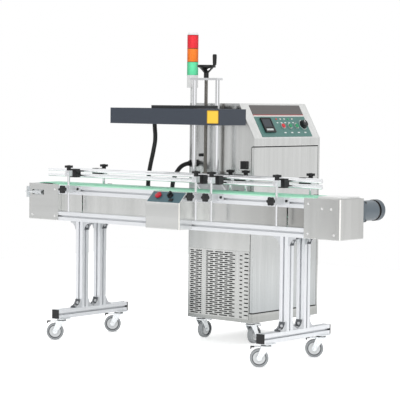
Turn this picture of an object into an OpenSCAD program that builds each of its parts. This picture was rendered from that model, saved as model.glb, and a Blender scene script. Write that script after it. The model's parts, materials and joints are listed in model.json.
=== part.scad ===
// Induction cap sealer: a belt conveyor on casters and a sealing cabinet on casters behind it.
// X runs along the conveyor towards its drive end, Y runs back to the cabinet, Z is up from the floor.
// Positions are written from the middle of the conveyor, and place() moves them to the model's origin.

/* [Conveyor] */
// Length of the conveyor over both end boxes
conv_len = 1740; // [1500:10:2400]
// Width of the aluminium frame over its side beams
frame_w = 156; // [150:1:200]
// Height of the top of the side beams above the floor
deck_z = 680; // [620:5:800]
// Height of the frame from lower beam to upper beam
frame_h = 160; // [150:5:240]
// Side of the square slotted profile
prof = 40; // [40:1:45]
// Sheet thickness of the end boxes
box_t = 3; // [2:0.5:4]
// Length of the tail box
tail_box_len = 183; // [165:1:260]
// Length of the drive box
drive_box_len = 178; // [165:1:260]
// Length of the tail box's top plate
tail_top_len = 67; // [50:1:100]
// Length of the drive box's top plate
drive_top_len = 123; // [80:1:140]
// Distance from the tail end to the tail shaft
tail_axis = 56; // [54:1:70]
// Distance from the drive end to the drive shaft
drive_axis = 67; // [56:1:80]

/* [Belt] */
// Width of the belt
belt_w = 106; // [90:1:108]
// Thickness of the belt
belt_t = 3; // [2:0.5:4]
// Radius of the belt drums
drum_r = 42; // [36:1:44]
// Diameter of the drum shafts
shaft_d = 20; // [15:1:25]
// Thickness of the slider bed under the belt
bed_t = 5; // [3:0.5:8]
// Height of the green edge strips above the beams
strip_h = 5; // [4:0.5:16]
// Distance from the tail end to the start of the strips
strip_start = 148; // [140:1:200]

/* [Legs] */
// Place of the leg frame near the tail
leg_tail_x = -555; // [-640:5:-420]
// Place of the leg frame near the drive
leg_drive_x = 592; // [420:5:640]
// Length of the foot bars over their caps
foot_len = 456; // [400:2:600]
// Thickness of the plastic bar caps
cap_t = 3; // [2:0.5:5]
// Leg length of the cast corner brackets
bracket_leg = 36; // [28:1:37]

/* [Casters] */
// Height of the casters over their plates
caster_h = 97; // [94:1:110]
// Diameter of the caster wheels
wheel_d = 75; // [65:1:78]
// Width of the caster wheels
wheel_w = 25; // [20:1:28]
// Distance from the swivel axis back to the wheel axis
caster_trail = 28; // [20:1:34]
// Distance from a foot bar's end to its caster's axis
caster_inset = 40; // [36:1:60]
// Heading that the conveyor's casters are turned to
caster_yaw = 40; // [30:1:50]

/* [Guide rails] */
// Distance of the guide posts from the frame's side
post_out = 37; // [32:1:50]
// Diameter of the posts, arms and rails
rod_d = 12; // [10:0.5:14]
// Places of the two posts of the rail near the tail
post_tail_a = -587; // [-660:1:-500]
// Second post of the rail near the tail
post_tail_b = 154; // [130:1:160]
// First post of the rail near the drive
post_drive_a = 238; // [232:1:260]
// Second post of the rail near the drive
post_drive_b = 580; // [500:1:640]
// Place of the joint between the two rails of a side
rail_joint = 196; // [190:1:202]
// How far the rails stop short of the conveyor's two ends
rail_short = 105; // [60:1:140]
// How far the back rail stops short of the conveyor's drive end
back_rail_short = 193; // [100:1:220]
// Height of the lower rail above the beams
rail_low = 45; // [44:1:60]
// Distance between the two rails
rail_gap = 24; // [22:1:30]
// Distance of the rails from the conveyor's middle
rail_y = 60; // [50:1:66]
// Diameter of the star knobs
knob_d = 38; // [32:1:44]

/* [Conveyor control box] */
// Place of the control box's left side
ctl_x = -86; // [-140:1:-70]
// Width of the control box
ctl_w = 188; // [150:1:196]
// Depth of the control box
ctl_d = 82; // [76:1:110]
// Height of the control box
ctl_h = 156; // [140:1:158]
// Depth of its sloping face
ctl_run = 50; // [44:1:60]
// Drop of its sloping face
ctl_drop = 46; // [40:1:60]

/* [Cabinet] */
// Place of the cabinet's left side
cab_x = -195; // [-220:1:-180]
// Width of the cabinet
cab_w = 368; // [340:1:420]
// Place of the cabinet's front
cab_y = 255; // [250:1:300]
// Depth of the cabinet
cab_d = 483; // [440:1:560]
// Height of the cabinet without its casters
cab_h = 960; // [900:5:1060]
// Depth of the sloping control face
slope_run = 87; // [70:1:110]
// Drop of the sloping control face
slope_drop = 152; // [140:1:180]
// Sheet thickness of the cabinet
sheet = 2; // [1.5:0.25:3]
// Width of the front grille panel
grille_w = 340; // [320:1:342]
// Height of the front grille panel
grille_h = 298; // [240:1:340]

/* [Column and head] */
// Middle of the column along the conveyor
col_x = -53; // [-60:1:-20]
// Middle of the column behind the conveyor
col_y = 195; // [190:1:205]
// Distance between the two column posts
col_span = 129; // [110:1:140]
// Diameter of the column posts
col_d = 20; // [16:1:22]
// Diameter of the lead screw
screw_d = 16; // [14:1:20]
// Height of the column's base above the floor
col_base_z = 733; // [720:1:760]
// Distance from the carriage's arm up to the column's top plate
col_rise = 111; // [100:1:150]
// Length of the sealing head
head_len = 617; // [520:1:680]
// Width of the sealing head
head_w = 177; // [150:1:180]
// Height of the sealing head
head_h = 68; // [60:1:80]
// Height of the head's underside above the floor
head_z = 965; // [955:1:990]
// Diameter of the handwheel
wheel_hand_d = 82; // [76:1:100]

/* [Tower light] */
// Diameter of the tower light
tower_d = 50; // [40:1:56]
// Height of each lens
lens_h = 60; // [40:1:70]
// Height of the underside of the tower's base above the cabinet
tower_lift = 68; // [50:1:90]

/* [Drive] */
// Width of the gear head and diameter of the motor
motor_w = 90; // [80:1:94]
// Length of the gear head
gear_len = 47; // [40:1:60]
// Length of the motor behind the gear head
motor_len = 153; // [110:1:165]
// Offset of the gear head's output below the drum shaft
gear_drop = 18; // [12:1:20]

/* [Hose] */
// Outer diameter of the hose
hose_d = 20; // [16:1:22]

/* [Hidden] */
$fn = 48;

// Clearances: running fit on a diameter, the gap between pieces that pass each other, and a bolted seam
fit = 0.1;
gap = 0.3;
seam = 0.05;

// Slotted profile
slot_w = 8.2;
slot_lip = 4.5;
slot_inner = 16;
slot_depth = 12.3;
core_d = 6.8;

// Conveyor levels and ends
tail_x = -conv_len / 2;
drive_x = conv_len / 2;
side_y = frame_w / 2;
plate_y = side_y + box_t;
low_z = deck_z - frame_h;
beam_y = side_y - prof / 2;
bed_z = deck_z + bed_t;
shaft_z = bed_z - drum_r;
tail_shaft_x = tail_x + tail_axis;
drive_shaft_x = drive_x - drive_axis;
drum_out = drum_r + belt_t;
beam_clear = 10;
beam_x0 = tail_shaft_x + drum_out + beam_clear;
beam_x1 = drive_shaft_x - drum_out - beam_clear;
strip_x0 = tail_x + strip_start;
strip_x1 = drive_x - drive_top_len;
box_top = deck_z + box_t;
belt_slot_w = belt_w + 10;
belt_end_gap = 10;
panel_t = 2;
panel_in_slot = 8;
seal_h = 4;
panel_joint = 6;
shaft_l = 2 * side_y - 2 * gap;
drum_l = belt_w + 6;

// Take-up at the tail
slot_h = 22;
slot_len = 74;
slider_h = 14;
slider_len = 52;
tab_len = 17;
tab_h = 50;
tension_d = 8;

// Bearings at the drive
bearing_d = 42;
bearing_t = 14;
bearing_bolt = 44;

// Legs and casters
foot_z = caster_h;
leg_z0 = foot_z + prof;
leg_xs = [leg_tail_x, leg_drive_x];
caster_y = foot_len / 2 - caster_inset;
wheel_r = wheel_d / 2;
caster_plate = 60;
caster_plate_t = 4;
race_d = 40;
race_t = 6;
crown_d = 46;
crown_t = 4;
kingpin_d = 10;
axle_d = 8;
fork_gap = 2;
fork_t = 2.5;
fork_boss = 11;
fork_y = wheel_w / 2 + fork_gap;
conveyor_casters = [[leg_drive_x, -caster_y], [leg_drive_x, caster_y],
    [leg_tail_x, -caster_y], [leg_tail_x, caster_y]];
cab_caster_in = 42;
cabinet_casters = [[cab_x + cab_caster_in, cab_y + cab_caster_in],
    [cab_x + cab_w - cab_caster_in, cab_y + cab_caster_in],
    [cab_x + cab_caster_in, cab_y + cab_d - caster_plate / 2],
    [cab_x + cab_w - cab_caster_in, cab_y + cab_d - caster_plate / 2]];
// Headings of the cabinet's casters, whose wheels roll along Y under the cabinet
cabinet_yaws = [-90, -90, 90, 90];

// Guide posts and rails
post_y = side_y + post_out;
post_bracket_z = deck_z - 14;
bracket_h = 28;
bracket_w = 28;
bracket_out = 13;
bracket_foot = 38;
bracket_foot_t = 6;
foot_screw_d = 11;
knob_t = 10;
knob_stem = 12;
knob_reach = 10;
post_low_z = low_z + 45;
rail_z0 = deck_z + rail_low;
arm_z = rail_z0 + rail_gap / 2;
cross_w = 22;
cross_h = 26;
post_in = 6;
clamp_w = 35;
clamp_d = 34;
clamp_h = rail_gap + 14;
rail_x0 = tail_x + rail_short;
rail_x1 = drive_x - rail_short;
back_rail_x1 = drive_x - back_rail_short;
rail_split = 4;
arm_end_y = post_y + 19;

// Control box on the conveyor
ctl_z = low_z + 4;
ctl_sheet = 2;
ctl_slope_a = atan2(ctl_drop, ctl_run);
ctl_slope_l = norm([ctl_run, ctl_drop]);
stop_at = [0.27 * ctl_w, 0.55 * ctl_slope_l];
speed_at = [0.60 * ctl_w, 0.62 * ctl_slope_l];
switch_at = [0.70 * ctl_w, 0.25 * ctl_slope_l];
stop_stem_d = 10;
stop_cap_d = 30;
stop_travel = 4;
speed_stem_d = 6;

// Cabinet levels
cab_z = caster_h;
cab_top = cab_z + cab_h;
cab_x1 = cab_x + cab_w;
slope_a = atan2(slope_drop, slope_run);
slope_l = norm([slope_run, slope_drop]);
grille_x = cab_x + 7;
grille_z = cab_z + 15;
grille_t = 1.5;
grille_rim = 3;
row_step = 9;
row_slot = 4.5;
row_edge = 6;
slot_l = 44;
slot_step = 55.6;
slot_first = 9.4;
slot_least = 3;
grille_groups = [[5, 72], [98, grille_w - 78]];
right_slots = [[51, 15], [25, 22]];
service_z0 = cab_z + 43;
service_z1 = cab_top - slope_drop - 37;
service_lap = 15;
service_rear = 14;
service_gap = 3;
service_r = 9;
tab_w = 30;
tab_lap = 10;

// Control face, along the slope and across it
face_t = 1.5;
face_y0 = 0.13 * cab_d;
face_y1 = 0.89 * cab_d;
face_x0 = 0.05 * slope_l;
face_x1 = 0.96 * slope_l;
button_d = 20;
button_stroke = 3;
bezel_d = 28;
bezel_h = 5;
button_row = 0.66 * slope_l;
stop_push_at = [button_row, 0.497 * cab_d];
start_push_at = [button_row, 0.60 * cab_d];
reset_push_at = [button_row, 0.704 * cab_d];
knob_at = [0.62 * slope_l, 0.817 * cab_d];
power_stem_d = 8;
power_knob_d = 38;
lamp_row = 0.457 * slope_l;
lamp_y0 = 0.44 * cab_d;
lamp_pitch = 0.06 * cab_d;
lamp_d = 7;
timer_at = [0.64 * slope_l, 0.268 * cab_d];
timer_w = 72;
timer_t = 8;

// Column
arm_t = 13;
col_top_z = head_z + head_h + arm_t + col_rise;
base_t = 12;
top_t = 10;
plate_long = col_span + col_d + 5;
plate_deep = 2 * col_d;
flange_drop = 60;
flange_t = 8;
hub_d = 22;
hub_h = 30;
screw_up = hub_h - 4;
rim_h = 11;
rim_w = 10;
rim_z = col_top_z + top_t + 46;
rim_mid = wheel_hand_d / 2 - rim_w / 2;
grip_d = 19;
grip_h = 47;
grip_pin_d = 8;
grip_a = 40;

// Head and carriage
head_x = col_x;
head_t = 3;
coil_t = 8;
carriage_w = plate_long + 6;
carriage_y0 = col_y - 28;
carriage_y1 = col_y + 25;
arm_front = 77;
arm_back = carriage_y0 + 13;

// Tower light
tower_x = cab_x - 14;
tower_y = cab_y + 32;
tower_pole_d = 18;
tower_clamp_h = 40;
tower_clamp_w = 32;
tower_z = cab_top + tower_lift;
tower_base_h = 56;
tower_cap_h = 10;

// Gear motor
motor_y0 = plate_y;
motor_z = shaft_z - gear_drop;
motor_groove = 5;
motor_end_len = 36;
motor_shaft_in = 24;

// Hose from the head's elbow, down behind the conveyor and up to the cabinet's gland
hose_route = [[-285, 118, 972], [-283, 118, 944], [-280, 118, 914], [-282, 119, 884], [-290, 121, 854],
    [-300, 124, 824], [-311, 127, 794], [-321, 130, 764], [-329, 133, 734], [-335, 136, 702], [-337, 138, 668],
    [-334, 137, 636], [-322, 135, 607], [-300, 131, 586], [-272, 128, 576], [-243, 124, 577], [-216, 120, 588],
    [-195, 116, 609], [-182, 113, 637], [-176, 113, 660], [-174, 114, 680], [-173, 118, 708], [-172, 129, 734],
    [-171, 146, 756], [-170, 168, 774], [-168, 194, 784], [-167, 222, 788]];
hose_sides = 10;
elbow_at = hose_route[0];
gland_at = hose_route[len(hose_route) - 1];
gland_d = 26;
elbow_lift = 26;
cock_in = 71;
cock_up = 38;
cock_d = 14;
socket_in = 68;
socket_size = [30, 11, 35];

// The model's origin: the middle of its outline on the floor
front_y = -(caster_y + (caster_trail + wheel_r) * sin(caster_yaw) + wheel_w / 2 * cos(caster_yaw));
origin_x = (tail_x - tab_len + drive_x) / 2;
origin_y = (front_y + cab_y + cab_d) / 2;

module place() {
    translate([-origin_x, -origin_y, 0]) children();
}

// A child drawn on the front side, and its mirror image on the back side
module both_sides() {
    for (side = [0, 1]) mirror([0, side, 0]) children();
}

// Section of the slotted profile
module profile_2d() {
    difference() {
        square(prof, center = true);
        for (a = [0:90:270]) rotate(a) {
            translate([-slot_w / 2, prof / 2 - slot_depth]) square([slot_w, slot_depth + 1]);
            translate([-slot_inner / 2, prof / 2 - slot_depth]) square([slot_inner, slot_depth - slot_lip]);
        }
        circle(d = core_d);
    }
}

module bar_x(x0, x1) {
    translate([x0, 0, 0]) rotate([90, 0, 90]) linear_extrude(x1 - x0) profile_2d();
}

module bar_y(y0, y1) {
    translate([0, y1, 0]) rotate([90, 0, 0]) linear_extrude(y1 - y0) profile_2d();
}

module bar_z(z0, z1) {
    translate([0, 0, z0]) linear_extrude(z1 - z0) profile_2d();
}

// Side outline of a housing with one sloping corner, drawn t inside its outer faces
module sloped_outline(w, h, run, drop, t) {
    l = norm([run, drop]);
    low = h - (t * l + drop * (run - t)) / run;
    high = w - run + t * (run - l) / drop;
    polygon([[t, t], [w - t, t], [w - t, low], [high, h - t], [t, h - t]]);
}

// Lobed outline of a star knob
module star_2d() {
    lobe = knob_d / 7;
    circle(d = knob_d - 1.4 * lobe);
    for (a = [0:60:300]) rotate(a) translate([knob_d / 2 - lobe, 0]) circle(r = lobe);
}

// Star knob with a hub, rising along Z from a seat at the origin, on a bare shank of the given reach
module star_knob(reach) {
    cylinder(d = knob_d / 4, h = reach + 1);
    translate([0, 0, reach]) {
        cylinder(d = knob_d / 2, h = knob_stem + 1);
        translate([0, 0, knob_stem]) linear_extrude(knob_t) star_2d();
        translate([0, 0, knob_stem + knob_t - 1]) cylinder(d1 = knob_d / 2, d2 = knob_d / 3, h = 2.5);
    }
}

// Aluminium beams: one pair on top and one pair below
module frame_beams() {
    color("gainsboro") place() both_sides() for (z = [deck_z - prof / 2, low_z + prof / 2])
        translate([0, -beam_y, z]) bar_x(beam_x0, beam_x1);
}

// Stainless side sheets that meet at the legs, their edges standing in the slots of the beams in edge seals
module side_panels() {
    ends = [beam_x0 - panel_joint / 2, leg_tail_x, leg_drive_x, beam_x1 + panel_joint / 2];
    panel_z0 = low_z + prof - panel_in_slot;
    panel_z1 = deck_z - prof + panel_in_slot;
    seal_w = slot_w - fit;
    color("silver") place() both_sides() for (i = [0:2]) {
        panel_l = ends[i + 1] - ends[i] - panel_joint;
        translate([ends[i] + panel_joint / 2, -beam_y, 0]) {
            translate([0, -panel_t / 2, panel_z0]) cube([panel_l, panel_t, panel_z1 - panel_z0]);
            for (z = [low_z + prof - seal_h, deck_z - prof]) translate([0, -seal_w / 2, z])
                cube([panel_l, seal_w, seal_h]);
        }
    }
}

// Slider bed under the belt, with a green edge strip along each side
module belt_bed() {
    strip_y = belt_w / 2 + 1;
    strip_l = strip_x1 - strip_x0;
    color("mediumaquamarine") place() {
        translate([strip_x0, seam - strip_y, deck_z]) cube([strip_l, 2 * strip_y - 2 * seam, bed_t]);
        both_sides() translate([strip_x0, -side_y, deck_z]) difference() {
            cube([strip_l, side_y - strip_y, strip_h]);
            translate([-1, 0, strip_h]) rotate([45, 0, 0]) cube([strip_l + 2, 3, 3]);
        }
    }
}

module belt_loop_2d(r) {
    for (x = [tail_shaft_x, drive_shaft_x]) translate([x, shaft_z]) circle(r);
    translate([tail_shaft_x, shaft_z - r]) square([drive_shaft_x - tail_shaft_x, 2 * r]);
}

module belt() {
    color("mediumseagreen") place() translate([0, belt_w / 2, 0]) rotate([90, 0, 0]) linear_extrude(belt_w)
        difference() {
            belt_loop_2d(drum_out);
            belt_loop_2d(drum_r + gap / 3);
        }
}

// Folded end box drawn with its closed end at x = 0 and its open end towards +X
module end_box(length, top_len) {
    difference() {
        translate([0, -plate_y, low_z]) cube([length, 2 * plate_y, box_top - low_z]);
        translate([box_t, -side_y, low_z + box_t]) cube([length, 2 * side_y, deck_z - low_z - box_t]);
        translate([top_len, -side_y, low_z + box_t]) cube([length, 2 * side_y, frame_h + box_t]);
        translate([prof, -side_y, low_z - 1]) cube([length, 2 * side_y, box_t + 2]);
    }
}

// Flanges that run in between the beams to the side sheets, closing the recess at one place along it
module recess_flanges(x, t) {
    flange_y = beam_y + panel_t / 2 + gap;
    both_sides() translate([x, -plate_y, low_z + prof + gap])
        cube([t, plate_y - flange_y, frame_h - 2 * prof - 2 * gap]);
}

module tail_box() {
    slot_x = tail_shaft_x - slot_len / 2;
    color("silver") place() difference() {
        union() {
            translate([tail_x, 0, 0]) end_box(tail_box_len, tail_top_len);
            recess_flanges(tail_x + tail_box_len - box_t, box_t);
        }
        translate([tail_shaft_x - drum_out - belt_end_gap / 2, -belt_slot_w / 2, deck_z - 1])
            cube([conv_len, belt_slot_w, box_t + 2]);
        both_sides() translate([slot_x, -plate_y - 1, shaft_z - slot_h / 2])
            cube([slot_len, box_t + 2, slot_h]);
    }
}

module drive_box() {
    color("silver") place() difference() {
        union() {
            translate([drive_x, 0, 0]) mirror([1, 0, 0]) end_box(drive_box_len, drive_top_len);
            recess_flanges(drive_x - drive_box_len, box_t);
        }
        translate([drive_shaft_x - conv_len, -belt_slot_w / 2, deck_z - 1])
            cube([conv_len + drum_out + belt_end_gap / 2, belt_slot_w, box_t + 2]);
        translate([drive_shaft_x, 0, shaft_z]) rotate([-90, 0, 0]) cylinder(d = shaft_d + 4, h = plate_y + 1);
    }
}

// Belt drum with its shaft, drawn along Y
module drum(y0, y1) {
    rotate([90, 0, 0]) translate([0, 0, -drum_l / 2]) cylinder(r = drum_r, h = drum_l);
    translate([0, y0, 0]) rotate([-90, 0, 0]) cylinder(d = shaft_d, h = y1 - y0);
}

module drive_roller() {
    color("dimgray") place() translate([drive_shaft_x, 0, shaft_z])
        drum(-side_y + gap, motor_y0 + motor_shaft_in);
}

module tail_roller() {
    color("dimgray") place() translate([tail_shaft_x, 0, shaft_z]) drum(-side_y + gap, side_y - gap);
}

// Flange bearings on the drive box, and take-up sliders with their screws on the tail box
module roller_bearings() {
    screw_y = plate_y + gap + tension_d / 2;
    slider_out = tension_d + 2 * gap;
    slide_x = tail_shaft_x - slider_len / 2;
    color("lightgray") place() {
        both_sides() {
            translate([drive_shaft_x, -side_y, shaft_z]) rotate([-90, 0, 0]) difference() {
                union() {
                    cylinder(d = bearing_d, h = bearing_t);
                    translate([-bearing_bolt / 2, 0, 0]) cylinder(d = 16, h = bearing_t / 2);
                    translate([bearing_bolt / 2, 0, 0]) cylinder(d = 16, h = bearing_t / 2);
                    translate([-bearing_bolt / 2, -8, 0]) cube([bearing_bolt, 16, bearing_t / 2]);
                }
                translate([0, 0, -1]) cylinder(d = shaft_d + fit, h = bearing_t + 2);
            }
            difference() {
                union() {
                    translate([slide_x, -plate_y - slider_out, shaft_z - slider_h / 2])
                        cube([slider_len, box_t + slider_out, slider_h]);
                    translate([slide_x, -side_y, shaft_z - bearing_d / 2])
                        cube([slider_len, bearing_t, bearing_d]);
                }
                translate([tail_shaft_x, -side_y - 0.5, shaft_z]) rotate([-90, 0, 0])
                    cylinder(d = shaft_d + fit, h = bearing_t + 2);
            }
            translate([tail_x - tab_len, -screw_y, shaft_z]) rotate([0, 90, 0])
                cylinder(d = tension_d, h = slide_x + tension_d - tail_x + tab_len);
            translate([tail_x - tab_len / 2, -screw_y - 6, shaft_z - tab_h / 2]) cube([4, 14, tab_h]);
            translate([tail_x - tab_len / 2, -plate_y, shaft_z - tab_h / 2]) cube([tab_len / 2, box_t, tab_h]);
        }
    }
}

// Small gear motor: square gear head, round motor, dark groove and end bell
module gear_motor() {
    bolt_at = motor_w / 2 - 9;
    corner = 8;
    end_d = motor_w - 2;
    end_edge = 8;
    end_z = gear_len + motor_len - motor_end_len;
    color("slategray") place() translate([drive_shaft_x, motor_y0, motor_z]) rotate([-90, 0, 0]) difference() {
        union() {
            intersection() {
                translate([-motor_w / 2, -motor_w / 2, 0]) cube([motor_w, motor_w, gear_len]);
                cylinder(r = motor_w / 2 * sqrt(2) - corner, h = gear_len);
            }
            for (x = [-1, 1]) for (z = [-1, 1])
                translate([x * bolt_at, z * bolt_at, gear_len - 1]) cylinder(d = 13, h = 11);
            translate([0, 0, gear_len - 1]) cylinder(d = motor_w - 6, h = end_z - motor_groove - gear_len + 1);
            translate([0, 0, gear_len]) cylinder(d = motor_w - 18, h = motor_len - 1);
            translate([0, 0, end_z]) cylinder(d = end_d, h = motor_end_len - end_edge);
            translate([0, 0, end_z + motor_end_len - end_edge])
                cylinder(d1 = end_d, d2 = end_d - 2 * end_edge, h = end_edge);
        }
        translate([0, -gear_drop, -1]) cylinder(d = shaft_d + fit, h = motor_shaft_in + 3);
    }
}

// Button-head screws of the end boxes and of the drive bearings
module frame_screws() {
    head_d = 10;
    head_h = 3;
    in = prof / 2;
    tail_end = tail_x + tail_box_len;
    drive_end = drive_x - drive_box_len;
    spots = [[tail_x + in, low_z + in], [tail_end - in, low_z + in], [tail_end - in, deck_z - in],
        [drive_end + in, low_z + in], [drive_end + in, deck_z - in], [drive_x - 1.5 * in, low_z + in],
        [drive_shaft_x - bearing_bolt / 2, shaft_z], [drive_shaft_x + bearing_bolt / 2, shaft_z]];
    color("whitesmoke") place() for (spot = spots) translate([spot[0], -plate_y, spot[1]]) rotate([90, 0, 0])
        difference() {
            cylinder(d1 = head_d, d2 = head_d - 3, h = head_h);
            translate([0, 0, head_h - 1.5]) cylinder(d = 4, h = 2, $fn = 6);
        }
}

// Legs and foot bars of slotted profile, with a plastic cap on each end of a foot bar
module leg_frames() {
    bar_l = foot_len / 2 - cap_t;
    color("gainsboro") place() for (x = leg_xs) {
        translate([x, 0, foot_z + prof / 2]) bar_y(-bar_l, bar_l);
        both_sides() {
            translate([x, -beam_y, 0]) bar_z(leg_z0 + seam, low_z);
            translate([x - prof / 2, -foot_len / 2, foot_z]) cube([prof, cap_t, prof]);
        }
    }
}

// Cast corner bracket in the +X +Z quarter, with two webs whose long edge is hollowed
module corner_bracket() {
    wide = prof - 4;
    wall = 5;
    web = 3.5;
    translate([0, -wide / 2, 0]) cube([bracket_leg, wide, wall]);
    translate([0, -wide / 2, 0]) cube([wall, wide, bracket_leg]);
    for (y = [-wide / 2, wide / 2 - web]) translate([0, y + web, 0]) rotate([90, 0, 0]) linear_extrude(web)
        difference() {
            square(bracket_leg);
            translate([bracket_leg * 1.08, bracket_leg * 1.08]) circle(bracket_leg * 0.92);
        }
    translate([wall - 1, 0, bracket_leg * 0.55]) rotate([0, 90, 0]) cylinder(d = 13, h = 6);
    translate([bracket_leg * 0.55, 0, wall - 1]) cylinder(d = 13, h = 6);
}

module corner_brackets() {
    color("lightgray") place() for (x = leg_xs) both_sides() {
        for (end = [0, 1]) {
            translate([x, -beam_y, low_z]) mirror([end, 0, 0]) translate([prof / 2, 0, 0])
                mirror([0, 0, 1]) corner_bracket();
            translate([x, -beam_y, leg_z0]) mirror([0, end, 0]) translate([0, prof / 2, 0])
                rotate(90) corner_bracket();
        }
    }
}

// Moves a child to the sloping face of the control box: X across, Y up the slope, Z outwards
module on_box_slope() {
    translate([ctl_x, -side_y - ctl_d, ctl_z + ctl_h - ctl_drop]) rotate([ctl_slope_a, 0, 0]) children();
}

module control_box() {
    face_in = 4;
    color("silver") place() {
        difference() {
            translate([ctl_x + ctl_w, -side_y, ctl_z]) rotate([90, 0, -90]) difference() {
                linear_extrude(ctl_w) sloped_outline(ctl_d, ctl_h, ctl_run, ctl_drop, 0);
                translate([0, 0, ctl_sheet]) linear_extrude(ctl_w - 2 * ctl_sheet)
                    sloped_outline(ctl_d, ctl_h, ctl_run, ctl_drop, ctl_sheet);
            }
            on_box_slope() box_holes();
        }
        on_box_slope() difference() {
            translate([face_in, face_in, 0]) cube([ctl_w - 2 * face_in, ctl_slope_l - 2 * face_in, 1]);
            box_holes();
        }
        on_box_slope() translate([switch_at[0] - 10, switch_at[1] - 7, 1]) cube([20, 14, 4]);
        for (x = [ctl_x, ctl_x + ctl_w - ctl_sheet]) translate([x, -side_y, low_z + prof + gap])
            cube([ctl_sheet, prof / 2 - panel_t / 2 - gap, frame_h - 2 * prof - 2 * gap]);
    }
}

module box_holes() {
    translate([stop_at[0], stop_at[1], -9]) cylinder(d = stop_stem_d + fit, h = 12);
    translate([speed_at[0], speed_at[1], -9]) cylinder(d = speed_stem_d + fit, h = 12);
}

module stop_button() {
    color("crimson") place() on_box_slope() translate([stop_at[0], stop_at[1], 0]) {
        translate([0, 0, -7]) cylinder(d = stop_stem_d, h = 14);
        translate([0, 0, 1 + stop_travel + gap]) rotate_extrude() intersection() {
            translate([0, -20]) circle(r = 30);
            square([stop_cap_d / 2, 12]);
        }
    }
}

module speed_knob() {
    color("black") place() on_box_slope() translate([speed_at[0], speed_at[1], 0]) {
        translate([0, 0, -7]) cylinder(d = speed_stem_d, h = 14);
        translate([0, 0, 1 + gap]) cylinder(d1 = 28, d2 = 24, h = 9);
        translate([-4, -13, 1 + gap]) cube([8, 26, 17]);
    }
}

// Fixed part of a caster: plate, race and kingpin, drawn about its swivel axis
module caster_plate_part() {
    crown_z = caster_h - caster_plate_t - race_t - gap - crown_t;
    translate([-caster_plate / 2, -caster_plate / 2, caster_h - caster_plate_t])
        cube([caster_plate, caster_plate, caster_plate_t]);
    translate([0, 0, caster_h - caster_plate_t - race_t]) cylinder(d = race_d, h = race_t + 1);
    translate([0, 0, crown_z - gap - 3]) cylinder(d = kingpin_d, h = crown_t + 2 * gap + 4);
    translate([0, 0, crown_z - gap - 3]) cylinder(d = kingpin_d + 8, h = 3);
}

// Side outline of a fork leg, from the crown down to the axle
module fork_leg_2d(top) {
    polygon([[-crown_d / 2 + 3, top], [crown_d / 2 - 5, top], [fork_boss - caster_trail, wheel_r],
        [-fork_boss - caster_trail, wheel_r]]);
    translate([-caster_trail, wheel_r]) circle(fork_boss);
}

// Swivelling part of a caster: crown, two legs, axle and brake pedal, with its wheel towards -X
module caster_fork(lift, pinned) {
    top = caster_h - caster_plate_t - race_t - lift;
    crown_z = top - crown_t;
    difference() {
        union() {
            translate([0, 0, crown_z]) cylinder(d = crown_d, h = crown_t);
            for (y = [-fork_y, fork_y + fork_t]) translate([0, y, 0]) rotate([90, 0, 0])
                linear_extrude(fork_t) fork_leg_2d(top);
            if (pinned) {
                translate([-caster_trail - wheel_r + 2, -12, crown_z - 2])
                    cube([wheel_r + caster_trail - 14, 24, 4]);
                translate([-caster_trail - wheel_r + 2, -12, crown_z - 8]) cube([4, 24, 10]);
            }
        }
        if (pinned) translate([0, 0, crown_z - 4]) cylinder(d = kingpin_d + fit, h = crown_t + 8);
    }
    translate([-caster_trail, fork_y + fork_t + 4, wheel_r]) rotate([90, 0, 0])
        cylinder(d = axle_d, h = 2 * (fork_y + fork_t + 4));
    for (y = [-fork_y - fork_t, fork_y + fork_t + 4]) translate([-caster_trail, y, wheel_r]) rotate([90, 0, 0])
        cylinder(d = 14, h = 4, $fn = 6);
}

// Caster wheel about its axle, in the same place as the fork
module caster_wheel() {
    hub_r = 12;
    rim_r = wheel_r - 9;
    hub_y = fork_y - 0.6;
    web_y = 4;
    edge = 3;
    half = wheel_w / 2;
    translate([-caster_trail, 0, wheel_r]) rotate([90, 0, 0]) rotate_extrude()
        polygon([[axle_d / 2 + fit / 2, -hub_y], [hub_r, -hub_y], [hub_r, -web_y], [rim_r, -web_y - 3],
            [rim_r, -half], [wheel_r - edge, -half], [wheel_r, edge - half], [wheel_r, half - edge],
            [wheel_r - edge, half], [rim_r, half], [rim_r, web_y + 3], [hub_r, web_y], [hub_r, hub_y],
            [axle_d / 2 + fit / 2, hub_y]]);
}

module at_caster(spot, yaw) {
    place() translate([spot[0], spot[1], 0]) rotate(yaw) children();
}

// Plates of all casters; the two rear cabinet casters have fixed forks
module caster_plates() {
    color("lightgray") {
        for (spot = conveyor_casters) at_caster(spot, 0) caster_plate_part();
        for (i = [0, 1]) at_caster(cabinet_casters[i], 0) caster_plate_part();
        for (i = [2, 3]) at_caster(cabinet_casters[i], cabinet_yaws[i]) {
            caster_plate_part();
            caster_fork(0, false);
        }
    }
}

module conveyor_fork(i) {
    color("lightgray") at_caster(conveyor_casters[i], caster_yaw) caster_fork(gap, true);
}

module conveyor_wheel(i) {
    color("gray") at_caster(conveyor_casters[i], caster_yaw) caster_wheel();
}

module cabinet_fork(i) {
    color("lightgray") at_caster(cabinet_casters[i], cabinet_yaws[i]) caster_fork(gap, true);
}

module cabinet_wheel(i) {
    color("gray") at_caster(cabinet_casters[i], cabinet_yaws[i]) caster_wheel();
}

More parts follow.
